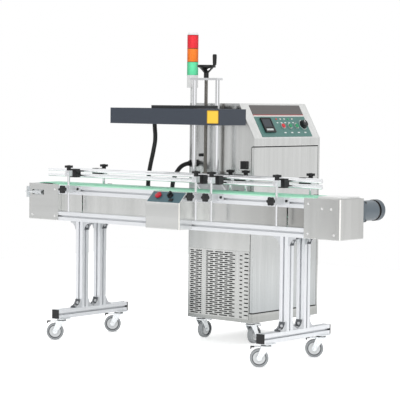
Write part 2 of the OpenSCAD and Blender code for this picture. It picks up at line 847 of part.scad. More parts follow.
// Clamp blocks that hold the guide posts, each with its foot plate and screw on the beam and its star knob
module post_brackets() {
    color("dimgray") place() both_sides() for (x = [post_tail_a, post_tail_b, post_drive_a, post_drive_b])
        translate([x, 0, post_bracket_z]) {
            difference() {
                translate([-bracket_w / 2, -post_y - bracket_out, -bracket_h / 2])
                    cube([bracket_w, post_out + bracket_out, bracket_h]);
                translate([0, -post_y, -bracket_h]) cylinder(d = rod_d + fit, h = 2 * bracket_h);
            }
            translate([0, -side_y - bracket_foot_t, -bracket_h / 2 + 2])
                cube([bracket_foot, bracket_foot_t, bracket_h - 4]);
            translate([bracket_foot - foot_screw_d, -side_y - bracket_foot_t + 1, 0]) rotate([90, 0, 0])
                cylinder(d = foot_screw_d, h = foot_screw_d / 2);
            translate([0, -post_y - bracket_out, 0]) rotate([90, 0, 0]) star_knob(knob_reach);
        }
}

// Post, and on it the cross block with its star knob, on the front side
module guide_post(x) {
    block_z = arm_z - cross_h / 2;
    translate([x, -post_y, 0]) {
        translate([0, 0, post_low_z]) cylinder(d = rod_d, h = block_z + post_in - post_low_z);
        difference() {
            translate([-cross_w / 2, -cross_w / 2, block_z]) cube([cross_w, cross_w, cross_h]);
            translate([0, cross_w, arm_z]) rotate([90, 0, 0]) cylinder(d = rod_d + fit, h = 2 * cross_w);
            translate([0, 0, block_z - 1]) cylinder(d = rod_d + fit, h = post_in + seam + 1);
        }
        translate([0, 0, block_z + cross_h]) star_knob(0);
    }
}

// The two rods of a rail, widened by a clearance where they are cut from a clamp
module rail_rods(x0, x1, wider) {
    for (z = [rail_z0, rail_z0 + rail_gap]) translate([x0, -rail_y, z]) rotate([0, 90, 0])
        cylinder(d = rod_d + wider, h = x1 - x0);
}

// The arm that slides in a cross block, with its inner end in the clamp
module rail_arm(x, wider) {
    translate([x, -rail_y - rod_d + wider / 2, arm_z]) rotate([90, 0, 0])
        cylinder(d = rod_d + wider, h = arm_end_y - rail_y - rod_d);
}

// Two rods with their clamps and arms, on the front side
module guide_rail(x0, x1, posts) {
    rail_rods(x0, x1, 0);
    for (x = posts) {
        difference() {
            translate([x - clamp_w / 2, -rail_y + rod_d / 2 - clamp_d, arm_z - clamp_h / 2])
                cube([clamp_w, clamp_d - 2, clamp_h]);
            rail_rods(x0 - 1, x1 + 1, fit);
            rail_arm(x, fit);
        }
        rail_arm(x, 0);
    }
}

module front_tail_posts() {
    color("silver") place() {
        guide_post(post_tail_a);
        guide_post(post_tail_b);
    }
}

module front_drive_posts() {
    color("silver") place() {
        guide_post(post_drive_a);
        guide_post(post_drive_b);
    }
}

module back_tail_posts() {
    color("silver") place() mirror([0, 1, 0]) {
        guide_post(post_tail_a);
        guide_post(post_tail_b);
    }
}

module back_drive_posts() {
    color("silver") place() mirror([0, 1, 0]) {
        guide_post(post_drive_a);
        guide_post(post_drive_b);
    }
}

module tail_rail() {
    guide_rail(rail_x0, rail_joint - rail_split / 2, [post_tail_a, post_tail_b]);
}

module drive_rail(end) {
    guide_rail(rail_joint + rail_split / 2, end, [post_drive_a, post_drive_b]);
}

module front_tail_rails() {
    color("whitesmoke") place() tail_rail();
}

module front_drive_rails() {
    color("whitesmoke") place() drive_rail(rail_x1);
}

module back_tail_rails() {
    color("whitesmoke") place() mirror([0, 1, 0]) tail_rail();
}

module back_drive_rails() {
    color("whitesmoke") place() mirror([0, 1, 0]) drive_rail(back_rail_x1);
}

// Moves a child to the cabinet's sloping face: X down the slope, Y to the back, Z outwards
module on_slope() {
    translate([cab_x1 - slope_run, cab_y, cab_top]) rotate([0, slope_a, 0]) children();
}

module face_holes() {
    deep = 20;
    for (at = [stop_push_at, start_push_at, reset_push_at])
        translate([at[0], at[1], -deep]) cylinder(d = button_d + fit, h = deep + bezel_h + 5);
    translate([knob_at[0], knob_at[1], -deep]) cylinder(d = power_stem_d + fit, h = deep + 5);
}

// Folded stainless cabinet with a sloping control face, openings behind the grille and the service panel,
// and tabs that hold that panel
module cabinet_shell() {
    color("silver") place() {
        difference() {
            translate([cab_x, cab_y + cab_d, cab_z]) rotate([90, 0, 0]) difference() {
                linear_extrude(cab_d) sloped_outline(cab_w, cab_h, slope_run, slope_drop, 0);
                translate([0, 0, sheet]) linear_extrude(cab_d - 2 * sheet)
                    sloped_outline(cab_w, cab_h, slope_run, slope_drop, sheet);
            }
            translate([grille_x + grille_rim, cab_y - 1, grille_z + grille_rim])
                cube([grille_w - 2 * grille_rim, sheet + 2, grille_h - 2 * grille_rim]);
            service_sheet(service_gap);
            on_slope() face_holes();
        }
        service_tabs();
    }
}

// One row of long slots on X, each cut off at the ends of its group
module slot_row(first) {
    for (group = grille_groups) for (x = [first - slot_step : slot_step : group[1]]) {
        x0 = max(x, group[0]);
        x1 = min(x + slot_l, group[1]);
        if (x1 - x0 > slot_least) translate([x0, 0]) square([x1 - x0, row_slot]);
    }
}

// Punched front grille: rows of long slots, each row moved on by half a step, and short slots at the right
module grille_panel() {
    rows = floor((grille_h - 2 * row_edge - row_slot) / row_step);
    color("silver") place() translate([grille_x, cab_y, grille_z]) rotate([90, 0, 0]) linear_extrude(grille_t)
        difference() {
            square([grille_w, grille_h]);
            for (k = [0:rows]) translate([0, row_edge + k * row_step]) {
                slot_row(slot_first + (k % 2) * slot_step / 2);
                translate([grille_w - right_slots[k % 2][0], 0]) square([right_slots[k % 2][1], row_slot]);
            }
        }
}

// Outline of the service panel's front lap with its round upper corner, grown by a margin
module service_lap_2d(margin) {
    w = service_lap + margin;
    h = service_z1 - service_z0 + 2 * margin;
    radius = service_r + margin;
    translate([cab_x1 - w, service_z0 - margin]) {
        square([w, h - radius]);
        translate([radius, 0]) square([w - radius, h]);
        translate([radius, h - radius]) circle(radius);
    }
}

// The service panel's sheet on the front and on the right side, grown by a margin
module service_sheet(margin) {
    thick = sheet + 2 * margin;
    translate([0, cab_y + sheet + margin, 0]) rotate([90, 0, 0]) linear_extrude(thick) service_lap_2d(margin);
    translate([cab_x1 - sheet - margin, cab_y - margin, service_z0 - margin])
        cube([thick, cab_d - service_rear + 2 * margin, service_z1 - service_z0 + 2 * margin]);
}

// Service panel on the right side, folded round the front corner and flush in its opening
module service_panel() {
    color("silver") place() service_sheet(0);
}

// Tabs inside the shell that the service panel rests on
module service_tabs() {
    high = service_gap + 2 * tab_lap;
    for (y = [cab_y + cab_d / 5, cab_y + cab_d * 3 / 4]) {
        for (z = [service_z0 - service_gap - tab_lap, service_z1 - tab_lap])
            translate([cab_x1 - 2 * sheet, y, z]) cube([sheet, tab_w, high]);
    }
}

// Face plate with button bezels, indicator lamps and the timer
module control_panel() {
    color("cadetblue") place() on_slope() {
        difference() {
            union() {
                translate([face_x0, face_y0, 0]) cube([face_x1 - face_x0, face_y1 - face_y0, face_t]);
                for (at = [stop_push_at, start_push_at, reset_push_at])
                    translate([at[0], at[1], 0]) cylinder(d = bezel_d, h = face_t + bezel_h);
            }
            face_holes();
        }
        for (i = [0:4]) translate([lamp_row, lamp_y0 + i * lamp_pitch, face_t]) cylinder(d = lamp_d, h = 2.5);
        translate([timer_at[0] - timer_w / 2, timer_at[1] - timer_w / 2, face_t]) difference() {
            cube([timer_w, timer_w, timer_t]);
            translate([5, 5, timer_t - 2]) cube([timer_w - 32, timer_w - 10, 3]);
            translate([timer_w - 22, 10, timer_t - 2]) cube([14, timer_w - 20, 3]);
        }
    }
}

// Push button that slides in its bezel
module push_button(at, proud) {
    place() on_slope() translate([at[0], at[1], -8]) cylinder(d = button_d, h = 8 + face_t + bezel_h + proud);
}

module stop_push_button() {
    color("crimson") push_button(stop_push_at, button_stroke);
}

module start_push_button() {
    color("seagreen") push_button(start_push_at, button_stroke);
}

module reset_push_button() {
    color("seagreen") push_button(reset_push_at, button_stroke);
}

module power_knob() {
    color("black") place() on_slope() translate([knob_at[0], knob_at[1], 0]) {
        translate([0, 0, -8]) cylinder(d = power_stem_d, h = 16);
        translate([0, 0, face_t + gap]) cylinder(d1 = power_knob_d, d2 = power_knob_d - 5, h = 18);
        translate([0, 0, face_t + gap]) cylinder(d = power_knob_d + 4, h = 4);
    }
}

// Column: base bracket on the cabinet's front, two posts and the top plate
module guide_column() {
    base_y0 = col_y - plate_deep / 2;
    color("gainsboro") place() difference() {
        union() {
            translate([col_x - plate_long / 2, base_y0, col_base_z])
                cube([plate_long, cab_y - base_y0, base_t]);
            translate([col_x - plate_long / 2, cab_y - flange_t, col_base_z - flange_drop])
                cube([plate_long, flange_t, flange_drop + 1]);
            for (x = [-plate_long / 2, plate_long / 2 - flange_t])
                translate([col_x + x + flange_t, cab_y - flange_t + 1, col_base_z + 1]) rotate([0, -90, 0])
                    linear_extrude(flange_t) polygon([[0, 0], [-flange_drop, 0], [0, -flange_drop]]);
            translate([col_x - plate_long / 2, base_y0, col_top_z]) cube([plate_long, plate_deep, top_t]);
        }
        translate([col_x, col_y, col_base_z - 1]) cylinder(d = screw_d + fit, h = col_top_z - col_base_z + 40);
        column_posts(fit, 1);
    }
    color("gainsboro") place() column_posts(0, 0);
}

// The two column posts, wider and longer where they are cut from the plates
module column_posts(wider, longer) {
    for (x = [-col_span / 2, col_span / 2]) translate([col_x + x, col_y, col_base_z - longer])
        cylinder(d = col_d + wider, h = col_top_z + top_t - col_base_z + 2 * longer);
}

// Lead screw with a thrust collar on the base
module lead_screw() {
    color("dimgray") place() translate([col_x, col_y, 0]) {
        translate([0, 0, col_base_z + 1])
            cylinder(d = screw_d, h = col_top_z + top_t + screw_up - col_base_z - 1);
        translate([0, 0, col_base_z + base_t + gap]) cylinder(d = screw_d + 12, h = 8);
    }
}

// Dished handwheel with three windows, on the lead screw above the top plate
module handwheel() {
    hub_z = col_top_z + top_t + gap;
    rim_in = rim_mid - rim_w / 2;
    window = 17;
    color("black") place() translate([col_x, col_y, 0]) {
        difference() {
            union() {
                translate([0, 0, hub_z]) cylinder(d = hub_d, h = hub_h);
                rotate_extrude() polygon([[hub_d / 2 - 2, hub_z + hub_h - 10], [rim_in + 2, rim_z],
                    [rim_in + 2, rim_z + 6], [hub_d / 2 - 2, hub_z + hub_h - 2]]);
                translate([0, 0, rim_z]) rotate_extrude() translate([rim_mid, rim_h / 2])
                    square([rim_w, rim_h], center = true);
            }
            translate([0, 0, hub_z - 1]) cylinder(d = screw_d + fit, h = screw_up + 1);
            for (a = [grip_a + 60:120:grip_a + 300]) rotate(a)
                translate([(rim_in + hub_d / 2) / 2 + 1, 0, hub_z]) cylinder(d = window, h = rim_z);
        }
        rotate(grip_a) translate([rim_mid, 0, rim_z + rim_h - 1]) cylinder(d = grip_pin_d, h = grip_h);
    }
}

// Free-turning grip on the handwheel's pin
module crank_grip() {
    base_z = rim_z + rim_h + gap;
    color("black") place() translate([col_x, col_y, base_z]) rotate(grip_a) translate([rim_mid, 0, 0])
        rotate_extrude() difference() {
            polygon([[0, 0], [grip_d / 2 - 2, 0], [grip_d / 2 - 1, 8], [grip_d / 2, grip_h - 6],
                [grip_d / 2 - 2, grip_h], [0, grip_h]]);
            translate([0, -1]) square([grip_pin_d / 2 + fit / 2, grip_h]);
        }
}

// Carriage on the column posts, with the arm that carries the head
module carriage() {
    color("darkslategray") place() difference() {
        union() {
            translate([col_x - carriage_w / 2, carriage_y0, head_z + 3])
                cube([carriage_w, carriage_y1 - carriage_y0, head_h - 3 - seam]);
            translate([col_x - carriage_w / 2, -arm_front, head_z + head_h])
                cube([carriage_w, arm_back + arm_front, arm_t]);
        }
        for (x = [-col_span / 2, col_span / 2]) translate([col_x + x, col_y, head_z])
            cylinder(d = col_d + fit, h = head_h + arm_t + 1);
        translate([col_x, col_y, head_z]) cylinder(d = screw_d + fit, h = head_h + arm_t + 1);
    }
}

// Sealing head: housing open below, coil plate in its mouth, and the hose elbow on its back
module sealing_head() {
    x0 = head_x - head_len / 2;
    color("darkslategray") place() {
        difference() {
            translate([x0, -head_w / 2, head_z]) cube([head_len, head_w, head_h]);
            translate([x0 + head_t, head_t - head_w / 2, head_z - 1])
                cube([head_len - 2 * head_t, head_w - 2 * head_t, head_h - head_t + 1]);
        }
        translate([x0 + head_t + gap, head_t + gap - head_w / 2, head_z + 2])
            cube([head_len - 2 * head_t - 2 * gap, head_w - 2 * head_t - 2 * gap, coil_t]);
        translate(elbow_at) {
            cylinder(d = gland_d, h = elbow_lift);
            translate([0, 0, elbow_lift]) sphere(d = gland_d);
            translate([0, 0, elbow_lift]) rotate([90, 0, 0])
                cylinder(d = gland_d, h = elbow_at[1] - head_w / 2 - seam);
        }
    }
}

// Tower light: wall clamp, pole, base and the clear cap above the lenses
module tower_base() {
    color("lightgray") place() {
        translate([cab_x - 2 * (cab_x - tower_x), tower_y - tower_clamp_w / 2, cab_top - tower_clamp_h - 25])
            cube([2 * (cab_x - tower_x), tower_clamp_w, tower_clamp_h]);
        translate([tower_x, tower_y, cab_top - tower_clamp_h - 24])
            cylinder(d = tower_pole_d, h = tower_z - cab_top + tower_clamp_h + 25);
        translate([tower_x, tower_y, tower_z]) cylinder(d = tower_d, h = tower_base_h);
        translate([tower_x, tower_y, tower_z + tower_base_h + 3 * lens_h])
            cylinder(d1 = tower_d, d2 = tower_d - 8, h = tower_cap_h);
    }
}

module tower_lens(i) {
    place() translate([tower_x, tower_y, tower_z + tower_base_h + i * lens_h])
        cylinder(d = tower_d, h = lens_h);
}

module tower_lens_green() {
    color("mediumseagreen") tower_lens(0);
}

module tower_lens_orange() {
    color("darkorange") tower_lens(1);
}

module tower_lens_red() {
    color("crimson") tower_lens(2);
}

function unit(v) = v / norm(v);

// Direction of the hose at point i, from its neighbours
function hose_way(i) = let (last = len(hose_route) - 1)
    unit(i == 0 ? [0, 0, -1] : i == last ? [0, 1, 0] : hose_route[i + 1] - hose_route[i - 1]);

// Ring of points round the hose at point i
function hose_ring(i) = let (t = hose_way(i), n = unit(cross(t, [1, -1, 0])), b = cross(t, n))
    [for (k = [0:hose_sides - 1]) let (a = 360 * k / hose_sides)
        hose_route[i] + hose_d / 2 * (cos(a) * n + sin(a) * b)];

module hose() {
    rings = len(hose_route);
    points = [for (i = [0:rings - 1]) each hose_ring(i)];
    start = [for (k = [0:hose_sides - 1]) k];
    finish = [for (k = [hose_sides - 1:-1:0]) (rings - 1) * hose_sides + k];
    walls = [for (i = [0:rings - 2]) for (k = [0:hose_sides - 1]) let (m = (k + 1) % hose_sides)
        [i * hose_sides + k, (i + 1) * hose_sides + k, (i + 1) * hose_sides + m, i * hose_sides + m]];
    color("black") place() polyhedron(points, concat([start, finish], walls));
}

// Fittings on the cabinet's front: hose gland, drain cock and cable socket
module cabinet_fittings() {
    color("black") place() {
        translate(gland_at) rotate([-90, 0, 0]) {
            cylinder(d = gland_d, h = 14);
            translate([0, 0, 13]) cylinder(d = gland_d + 10, h = cab_y - gland_at[1] - 13, $fn = 6);
        }
        translate([cab_x + cock_in, cab_y, gland_at[2] + cock_up]) rotate([90, 0, 0])
            cylinder(d = cock_d, h = cock_d);
        translate([cab_x1 - socket_in, cab_y - socket_size[1], gland_at[2] - socket_size[2] / 2])
            cube(socket_size);
    }
}

frame_beams();
side_panels();
belt_bed();
belt();
tail_box();
drive_box();
drive_roller();
tail_roller();
roller_bearings();
gear_motor();
frame_screws();
leg_frames();
corner_brackets();
control_box();
stop_button();
speed_knob();
caster_plates();
conveyor_fork(0);  // conveyor_fork_1
conveyor_fork(1);  // conveyor_fork_2
conveyor_fork(2);  // conveyor_fork_3
conveyor_fork(3);  // conveyor_fork_4
conveyor_wheel(0);  // conveyor_wheel_1
conveyor_wheel(1);  // conveyor_wheel_2
conveyor_wheel(2);  // conveyor_wheel_3
conveyor_wheel(3);  // conveyor_wheel_4
cabinet_fork(0);  // cabinet_fork_1
cabinet_fork(1);  // cabinet_fork_2
cabinet_wheel(0);  // cabinet_wheel_1
cabinet_wheel(1);  // cabinet_wheel_2
cabinet_wheel(2);  // cabinet_wheel_3
cabinet_wheel(3);  // cabinet_wheel_4
post_brackets();
front_tail_posts();
front_drive_posts();
back_tail_posts();
back_drive_posts();
front_tail_rails();
front_drive_rails();
back_tail_rails();
back_drive_rails();
cabinet_shell();
grille_panel();
service_panel();
control_panel();
stop_push_button();
start_push_button();
reset_push_button();
power_knob();
guide_column();
lead_screw();
handwheel();
crank_grip();
carriage();
sealing_head();
tower_base();
tower_lens_green();
tower_lens_orange();
tower_lens_red();
hose();
cabinet_fittings();
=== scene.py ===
"""Looks of the induction cap sealer: finishes for the CAD solids, and pieces that the solids lack.

Lengths are in metres in the CAD frame: X along the conveyor, Y towards the cabinet, Z up from the floor.
"""

import json
import math

import bpy
from mathutils import Matrix, Vector


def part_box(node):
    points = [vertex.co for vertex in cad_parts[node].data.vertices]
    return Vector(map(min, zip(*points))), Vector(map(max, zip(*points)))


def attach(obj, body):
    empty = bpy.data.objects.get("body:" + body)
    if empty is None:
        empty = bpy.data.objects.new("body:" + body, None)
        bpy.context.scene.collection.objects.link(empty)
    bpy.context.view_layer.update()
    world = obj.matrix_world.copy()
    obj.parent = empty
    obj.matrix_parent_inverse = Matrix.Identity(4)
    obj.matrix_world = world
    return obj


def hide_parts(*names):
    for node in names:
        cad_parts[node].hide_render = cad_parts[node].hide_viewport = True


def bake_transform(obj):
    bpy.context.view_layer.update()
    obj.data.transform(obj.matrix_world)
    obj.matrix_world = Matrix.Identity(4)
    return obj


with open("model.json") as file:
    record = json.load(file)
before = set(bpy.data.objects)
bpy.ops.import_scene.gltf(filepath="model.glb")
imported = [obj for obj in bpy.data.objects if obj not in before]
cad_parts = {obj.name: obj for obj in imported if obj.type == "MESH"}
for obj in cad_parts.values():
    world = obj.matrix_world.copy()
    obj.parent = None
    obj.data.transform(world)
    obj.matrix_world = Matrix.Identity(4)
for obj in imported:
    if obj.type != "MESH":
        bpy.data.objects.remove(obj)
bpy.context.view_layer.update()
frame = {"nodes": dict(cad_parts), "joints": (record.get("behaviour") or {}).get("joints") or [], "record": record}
nodes = frame["nodes"]

MM = 0.001

# The middle of the conveyor on the floor, which part.scad measures from
MID = Vector(((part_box("tail_box")[0].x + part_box("drive_box")[1].x) / 2,
              (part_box("belt")[0].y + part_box("belt")[1].y) / 2, 0))

# Camera, from the photograph: almost level, from the drive end's side
CAMERA_AT = MID + Vector((4820.4, -5696.3, 1070.7)) * MM
CAMERA_YAW, CAMERA_PITCH, CAMERA_ROLL = (math.radians(angle) for angle in (39.76, 3.30, 0.63))
CAMERA_LENS, CAMERA_SENSOR, CAMERA_SEES = 156.3, 36.0, 100
TOWARDS_CAMERA = Vector((math.sin(CAMERA_YAW), -math.cos(CAMERA_YAW), 0))

# Brightness of the room, from the backdrop at 0 to the camera's side at 1, with a dark flag on the way that
# draws lines on polished rods
ROOM_LEVELS = (
    (0.0, 1.0), (0.10, 1.0), (0.19, 0.55), (0.28, 0.80), (0.41, 0.88), (0.53, 0.84), (0.59, 0.77),
    (0.65, 0.62), (0.70, 0.42), (0.76, 0.18), (0.83, 0.30), (0.90, 1.0), (1.0, 1.1))
# Extra light from above: its strength, and the upward slopes of view at which it starts and is full
CEILING_LIGHT, CEILING_STARTS, CEILING_FULL = 0.30, 0.05, 0.8
LAMP_POWER, LAMP_SIZE = 150, (2.4, 3.0)
LAMP_AWAY, LAMP_HEIGHT = 6.0, 1.9
LAMP_AIM = MID + Vector((0, 0.2, 0.7))
FLOOR_SIZE, FLOOR_GLOW = 7.0, 0.45

# Hose: the route of part.scad, in millimetres from the conveyor's middle
HOSE_ROUTE = (
    (-285, 118, 972), (-283, 118, 944), (-280, 118, 914), (-282, 119, 884), (-290, 121, 854),
    (-300, 124, 824), (-311, 127, 794), (-321, 130, 764), (-329, 133, 734), (-335, 136, 702),
    (-337, 138, 668), (-334, 137, 636), (-322, 135, 607), (-300, 131, 586), (-272, 128, 576),
    (-243, 124, 577), (-216, 120, 588), (-195, 116, 609), (-182, 113, 637), (-176, 113, 660),
    (-174, 114, 680), (-173, 118, 708), (-172, 129, 734), (-171, 146, 756), (-170, 168, 774),
    (-168, 194, 784), (-167, 222, 788))
HOSE_DIAMETER, HOSE_PITCH = 20 * MM, 5 * MM
# The hose's width between two ridges as a share of its diameter, and how much a ridge swells it
HOSE_ROOT, HOSE_SWELL = 0.9, 0.11

# Masks: a distance that is beyond any piece, and a little to spare past a face
BEYOND, SPARE = 1.0, 1 * MM

# Uneven patches: how many finer layers they have, and the raw values that become 0 and 1
NOISE_DETAIL, NOISE_RANGE = 3.0, (0.3, 0.7)

# Guide rails: the posts' places along the conveyor, and the sizes of star knobs and cross blocks
POST_PLACES = (-587 * MM, 154 * MM, 238 * MM, 580 * MM)
KNOB_DEPTH, KNOB_RADIUS, CROSS_BLOCK = 23.5 * MM, 19 * MM, 26 * MM

# Screws in the posts' feet: how far from the post along X and from the middle along Y, and half their sizes
FOOT_SCREW_X, FOOT_SCREW_Y = 27 * MM, 87.6 * MM
SCREW_HALF_X, SCREW_HALF_Y = 7 * MM, 3.5 * MM

# Rail clamps: how far from the posts they lie, and half their length
CLAMP_REACH, CLAMP_HALF = (26.9 * MM, 59.1 * MM), 17.6 * MM

# Finishes that several pieces share: black plastic, the control film, and painted shade for the inside of a box
BLACK, FILM = "#111214", "#4d7a74"
PAINTED_SHADE_INSIDE = ("#0c0c0d", 0.8)

# Folded edges of the sheet boxes, seals at the edges of the side sheets, and caps on the foot bars
BOX_EDGE, EDGE_SEAL, FOOT_CAP = 4 * MM, 8 * MM, 3.1 * MM

# Painted highlight along the folds of the drive box and control box, and the depth at which the painted shade
# inside a box starts
FOLD_HIGHLIGHT = 4 * MM
SKIN = Vector((1.5, 1.5, 1.5)) * MM

# Cover sheet over the belt at the drive end: its start, fold and end along X, the half widths of its top,
# sides and flanges, its lower and upper height, and its thickness
COVER_X = (748 * MM, 860 * MM, 862 * MM)
COVER_TOP, COVER_SIDE, COVER_FLANGE = 61 * MM, 63 * MM, 76 * MM
COVER_LOW, COVER_HIGH, COVER_THICK = 683 * MM, 689.3 * MM, 1.2 * MM

# Painted shade: the side sheets darken towards the drive box, between these two places along X
PANEL_PAINTED_SHADE = (MID.x + 250 * MM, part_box("drive_box")[0].x)

# Corner brackets, from the middle of their leg: start and end of a bracket, thickness of its walls with a
# little to spare, and half the width of the hollow between its webs, which gets painted shade
BRACKET_NEAR, BRACKET_FAR, BRACKET_WALL, BRACKET_HOLLOW = 20 * MM, 56 * MM, 5.3 * MM, 14.6 * MM

# Belt: pitch and depth of its weave
WEAVE_PITCH, WEAVE_DEPTH = 4 * MM, 0.1 * MM

# Length of the motor's end bell, and of the gap before it, which gets painted shade
MOTOR_BELL, MOTOR_SHADED_GAP = 35 * MM, 12 * MM

# Bolts at the gear head's corners: depth of the head, then the bolts' distance from the middle, half width
# and depth
GEAR_DEEP, GEAR_BOLT, BOLT_HALF, BOLT_DEEP = 47.1 * MM, 36 * MM, 7 * MM, 10 * MM

# Painted shade: the cabinet's sheets darken towards the floor, between these two heights, and the foot below the
# service panel more so, within this distance of the panel's lower edge
CABINET_PAINTED_SHADE, FOOT_PAINTED_SHADE = (620 * MM, 150 * MM), 20 * MM

# Painted shade for the gap round the service panel: the width of the near black rim at its sides and at its ends
GAP_SIDES, GAP_ENDS = 0.3 * MM, 2 * MM

# Depth behind the grille's face at which the painted shade in its slots starts
GRILLE_FACE = 0.3 * MM

# Run and drop of the cabinet's sloping face and of the control box's sloping face
CABINET_SLOPE = (87 * MM, 152 * MM)
BOX_SLOPE = (50 * MM, 46 * MM)

# Heights on both sloping faces: those of a print, and one above all fittings
PRINT_HEIGHTS, FACE_REACH = (-10 * MM, 4 * MM), 100 * MM
# Heights at which the control box's film and fittings start
BOX_FILM, BOX_FITTINGS = 0.2 * MM, 1.2 * MM
# Heights at which the cabinet's lamps and button collars, timer, timer keys and knob pointer start, and
# those of the timer's window
LAMP_RISES, TIMER_RISES, KEYS_RISE, POINTER_RISES = 1.7 * MM, 2 * MM, 5 * MM, 16 * MM
WINDOW_HEIGHTS = (2 * MM, 8 * MM)

# Rotary knob: its place on the cabinet's sloping face as shares of length and depth, the printed ring round
# it, and its pointer's ends from the middle and half width
DIAL_AT = (0.62, 0.817)
DIAL_RING = ((24 * MM, "#d5dbd9"), (21.5 * MM, FILM))
POINTER_FAR, POINTER_NEAR, POINTER_HALF = 17 * MM, 3 * MM, 1.5 * MM

# Control face, as shares of its length down the slope and of its depth across: bands over its whole depth,
# the row of lamps with a mark below each, a mark below each button, the buttons' collars, and the timer
FACE_BANDS = ((0, 0.325, "#5f5b5a"), (0.325, 0.345, "#b8433f"), (0.345, 0.38, "#d9dad8"))
LAMP_DOWN, LAMP_MARK_DOWN, BUTTON_MARK_DOWN = (0.40, 0.51), (0.545, 0.57), (0.83, 0.86)
LAMP_PLACES, LAMP_HALF = (0.44, 0.50, 0.56, 0.62, 0.68), 0.012
LAMP_COLOURS = ("#d8352f", "#e8e6df", "#e8e6df", "#3fae72", "#e8e6df")
BUTTON_PLACES, BUTTON_MARK_HALF = (0.497, 0.600, 0.703, 0.806), 0.016
COLLARS_DOWN, COLLARS_ACROSS = (0.55, 0.80), (0.45, 0.75)
TIMER_DOWN, TIMER_ACROSS = (0, 1), (0.19, 0.345)
WINDOW_DOWN, WINDOW_ACROSS = (0.47, 0.70), (0.205, 0.33)
KEYS_DOWN, KEYS_ACROSS = (0.74, 0.80), (0.215, 0.32)

# Column: top of its foot plate and thickness of its top plate
COLUMN_FOOT, TOP_PLATE = 745 * MM, 10 * MM

# Head: half its width across the belt, and how far behind that its elbow starts
HEAD_HALF, ELBOW_GAP = 88.5 * MM, 0.1 * MM

# Lead screw: pitch and depth of its thread and its radius, then its thrust collar's height above the screw's
# end and the collar's depth
THREAD_PITCH, THREAD_DEPTH, SCREW_RADIUS = 5 * MM, 0.9 * MM, 8 * MM
COLLAR_UP, COLLAR_DEEP = 11.3 * MM, 8 * MM

# Tower light: flutes round each lens, how deep they are, and the depth of the seal ring on top of each lens
LENS_FLUTES, FLUTE_DEPTH, LENS_SEAL = 30, 0.9 * MM, 2.5 * MM
# Each lens's colour, and its deeper colour where the light passes through more of the plastic
LENS_COLOURS = (
    ("green", "#6ef0b4", "#0b6a40"),
    ("orange", "#fb8420", "#b04606"),
    ("red", "#f02836", "#960c18"))
# How far the deeper colour reaches in from a lens's rim, and the strength of a painted glow that stands in for
# light shining through the lens
LENS_RIM, LENS_PAINTED_GLOW = 0.75, 0.1

# Casters: height of the ball races, heading of the conveyor's casters, where a brake pedal's pad starts
# along the caster and in height, half the size of a box round a caster, and the rings on a wheel's face: a
# ring of painted shade at the step down to its web, then the pale hub
RACE_HEIGHT = (86.8 * MM, 93 * MM)
CASTER_YAW = math.radians(40)
PEDAL_PAD, PEDAL_LOW, CASTER_HALF = -48 * MM, 70 * MM, 100 * MM
WHEEL_RINGS = ((29.2 * MM, "#54575a"), (25.3 * MM, "#d4d6d7"))

# Yellow plate on the head: its corners along X and Z, its corner radius and its raised rim
PLATE_X, PLATE_Z = (188 * MM, 250 * MM), (972 * MM, 1027 * MM)
PLATE_THICK, PLATE_CORNER, PLATE_RIM = 0.8 * MM, 4 * MM, 3 * MM


# Small tools for shader nodes

def linear(code):
    """An sRGB hex colour as a linear RGBA colour."""
    channels = [int(code[i:i + 2], 16) / 255 for i in (1, 3, 5)]
    return tuple(c / 12.92 if c <= 0.04045 else ((c + 0.055) / 1.055) ** 2.4 for c in channels) + (1.0,)


def feed(tree, socket, value):
    """Gives a node's input a constant or another node's output."""
    if isinstance(value, bpy.types.NodeSocket):
        tree.links.new(value, socket)
    else:
        socket.default_value = value


def add_node(tree, kind, values=(), **settings):
    """Adds a shader node; values are its inputs in order, each a constant, another node's output or None."""
    made = tree.nodes.new("ShaderNode" + kind)
    for name, value in settings.items():
        setattr(made, name, value)
    for socket, value in zip(made.inputs, values):
        if value is not None:
            feed(tree, socket, value)
    return made


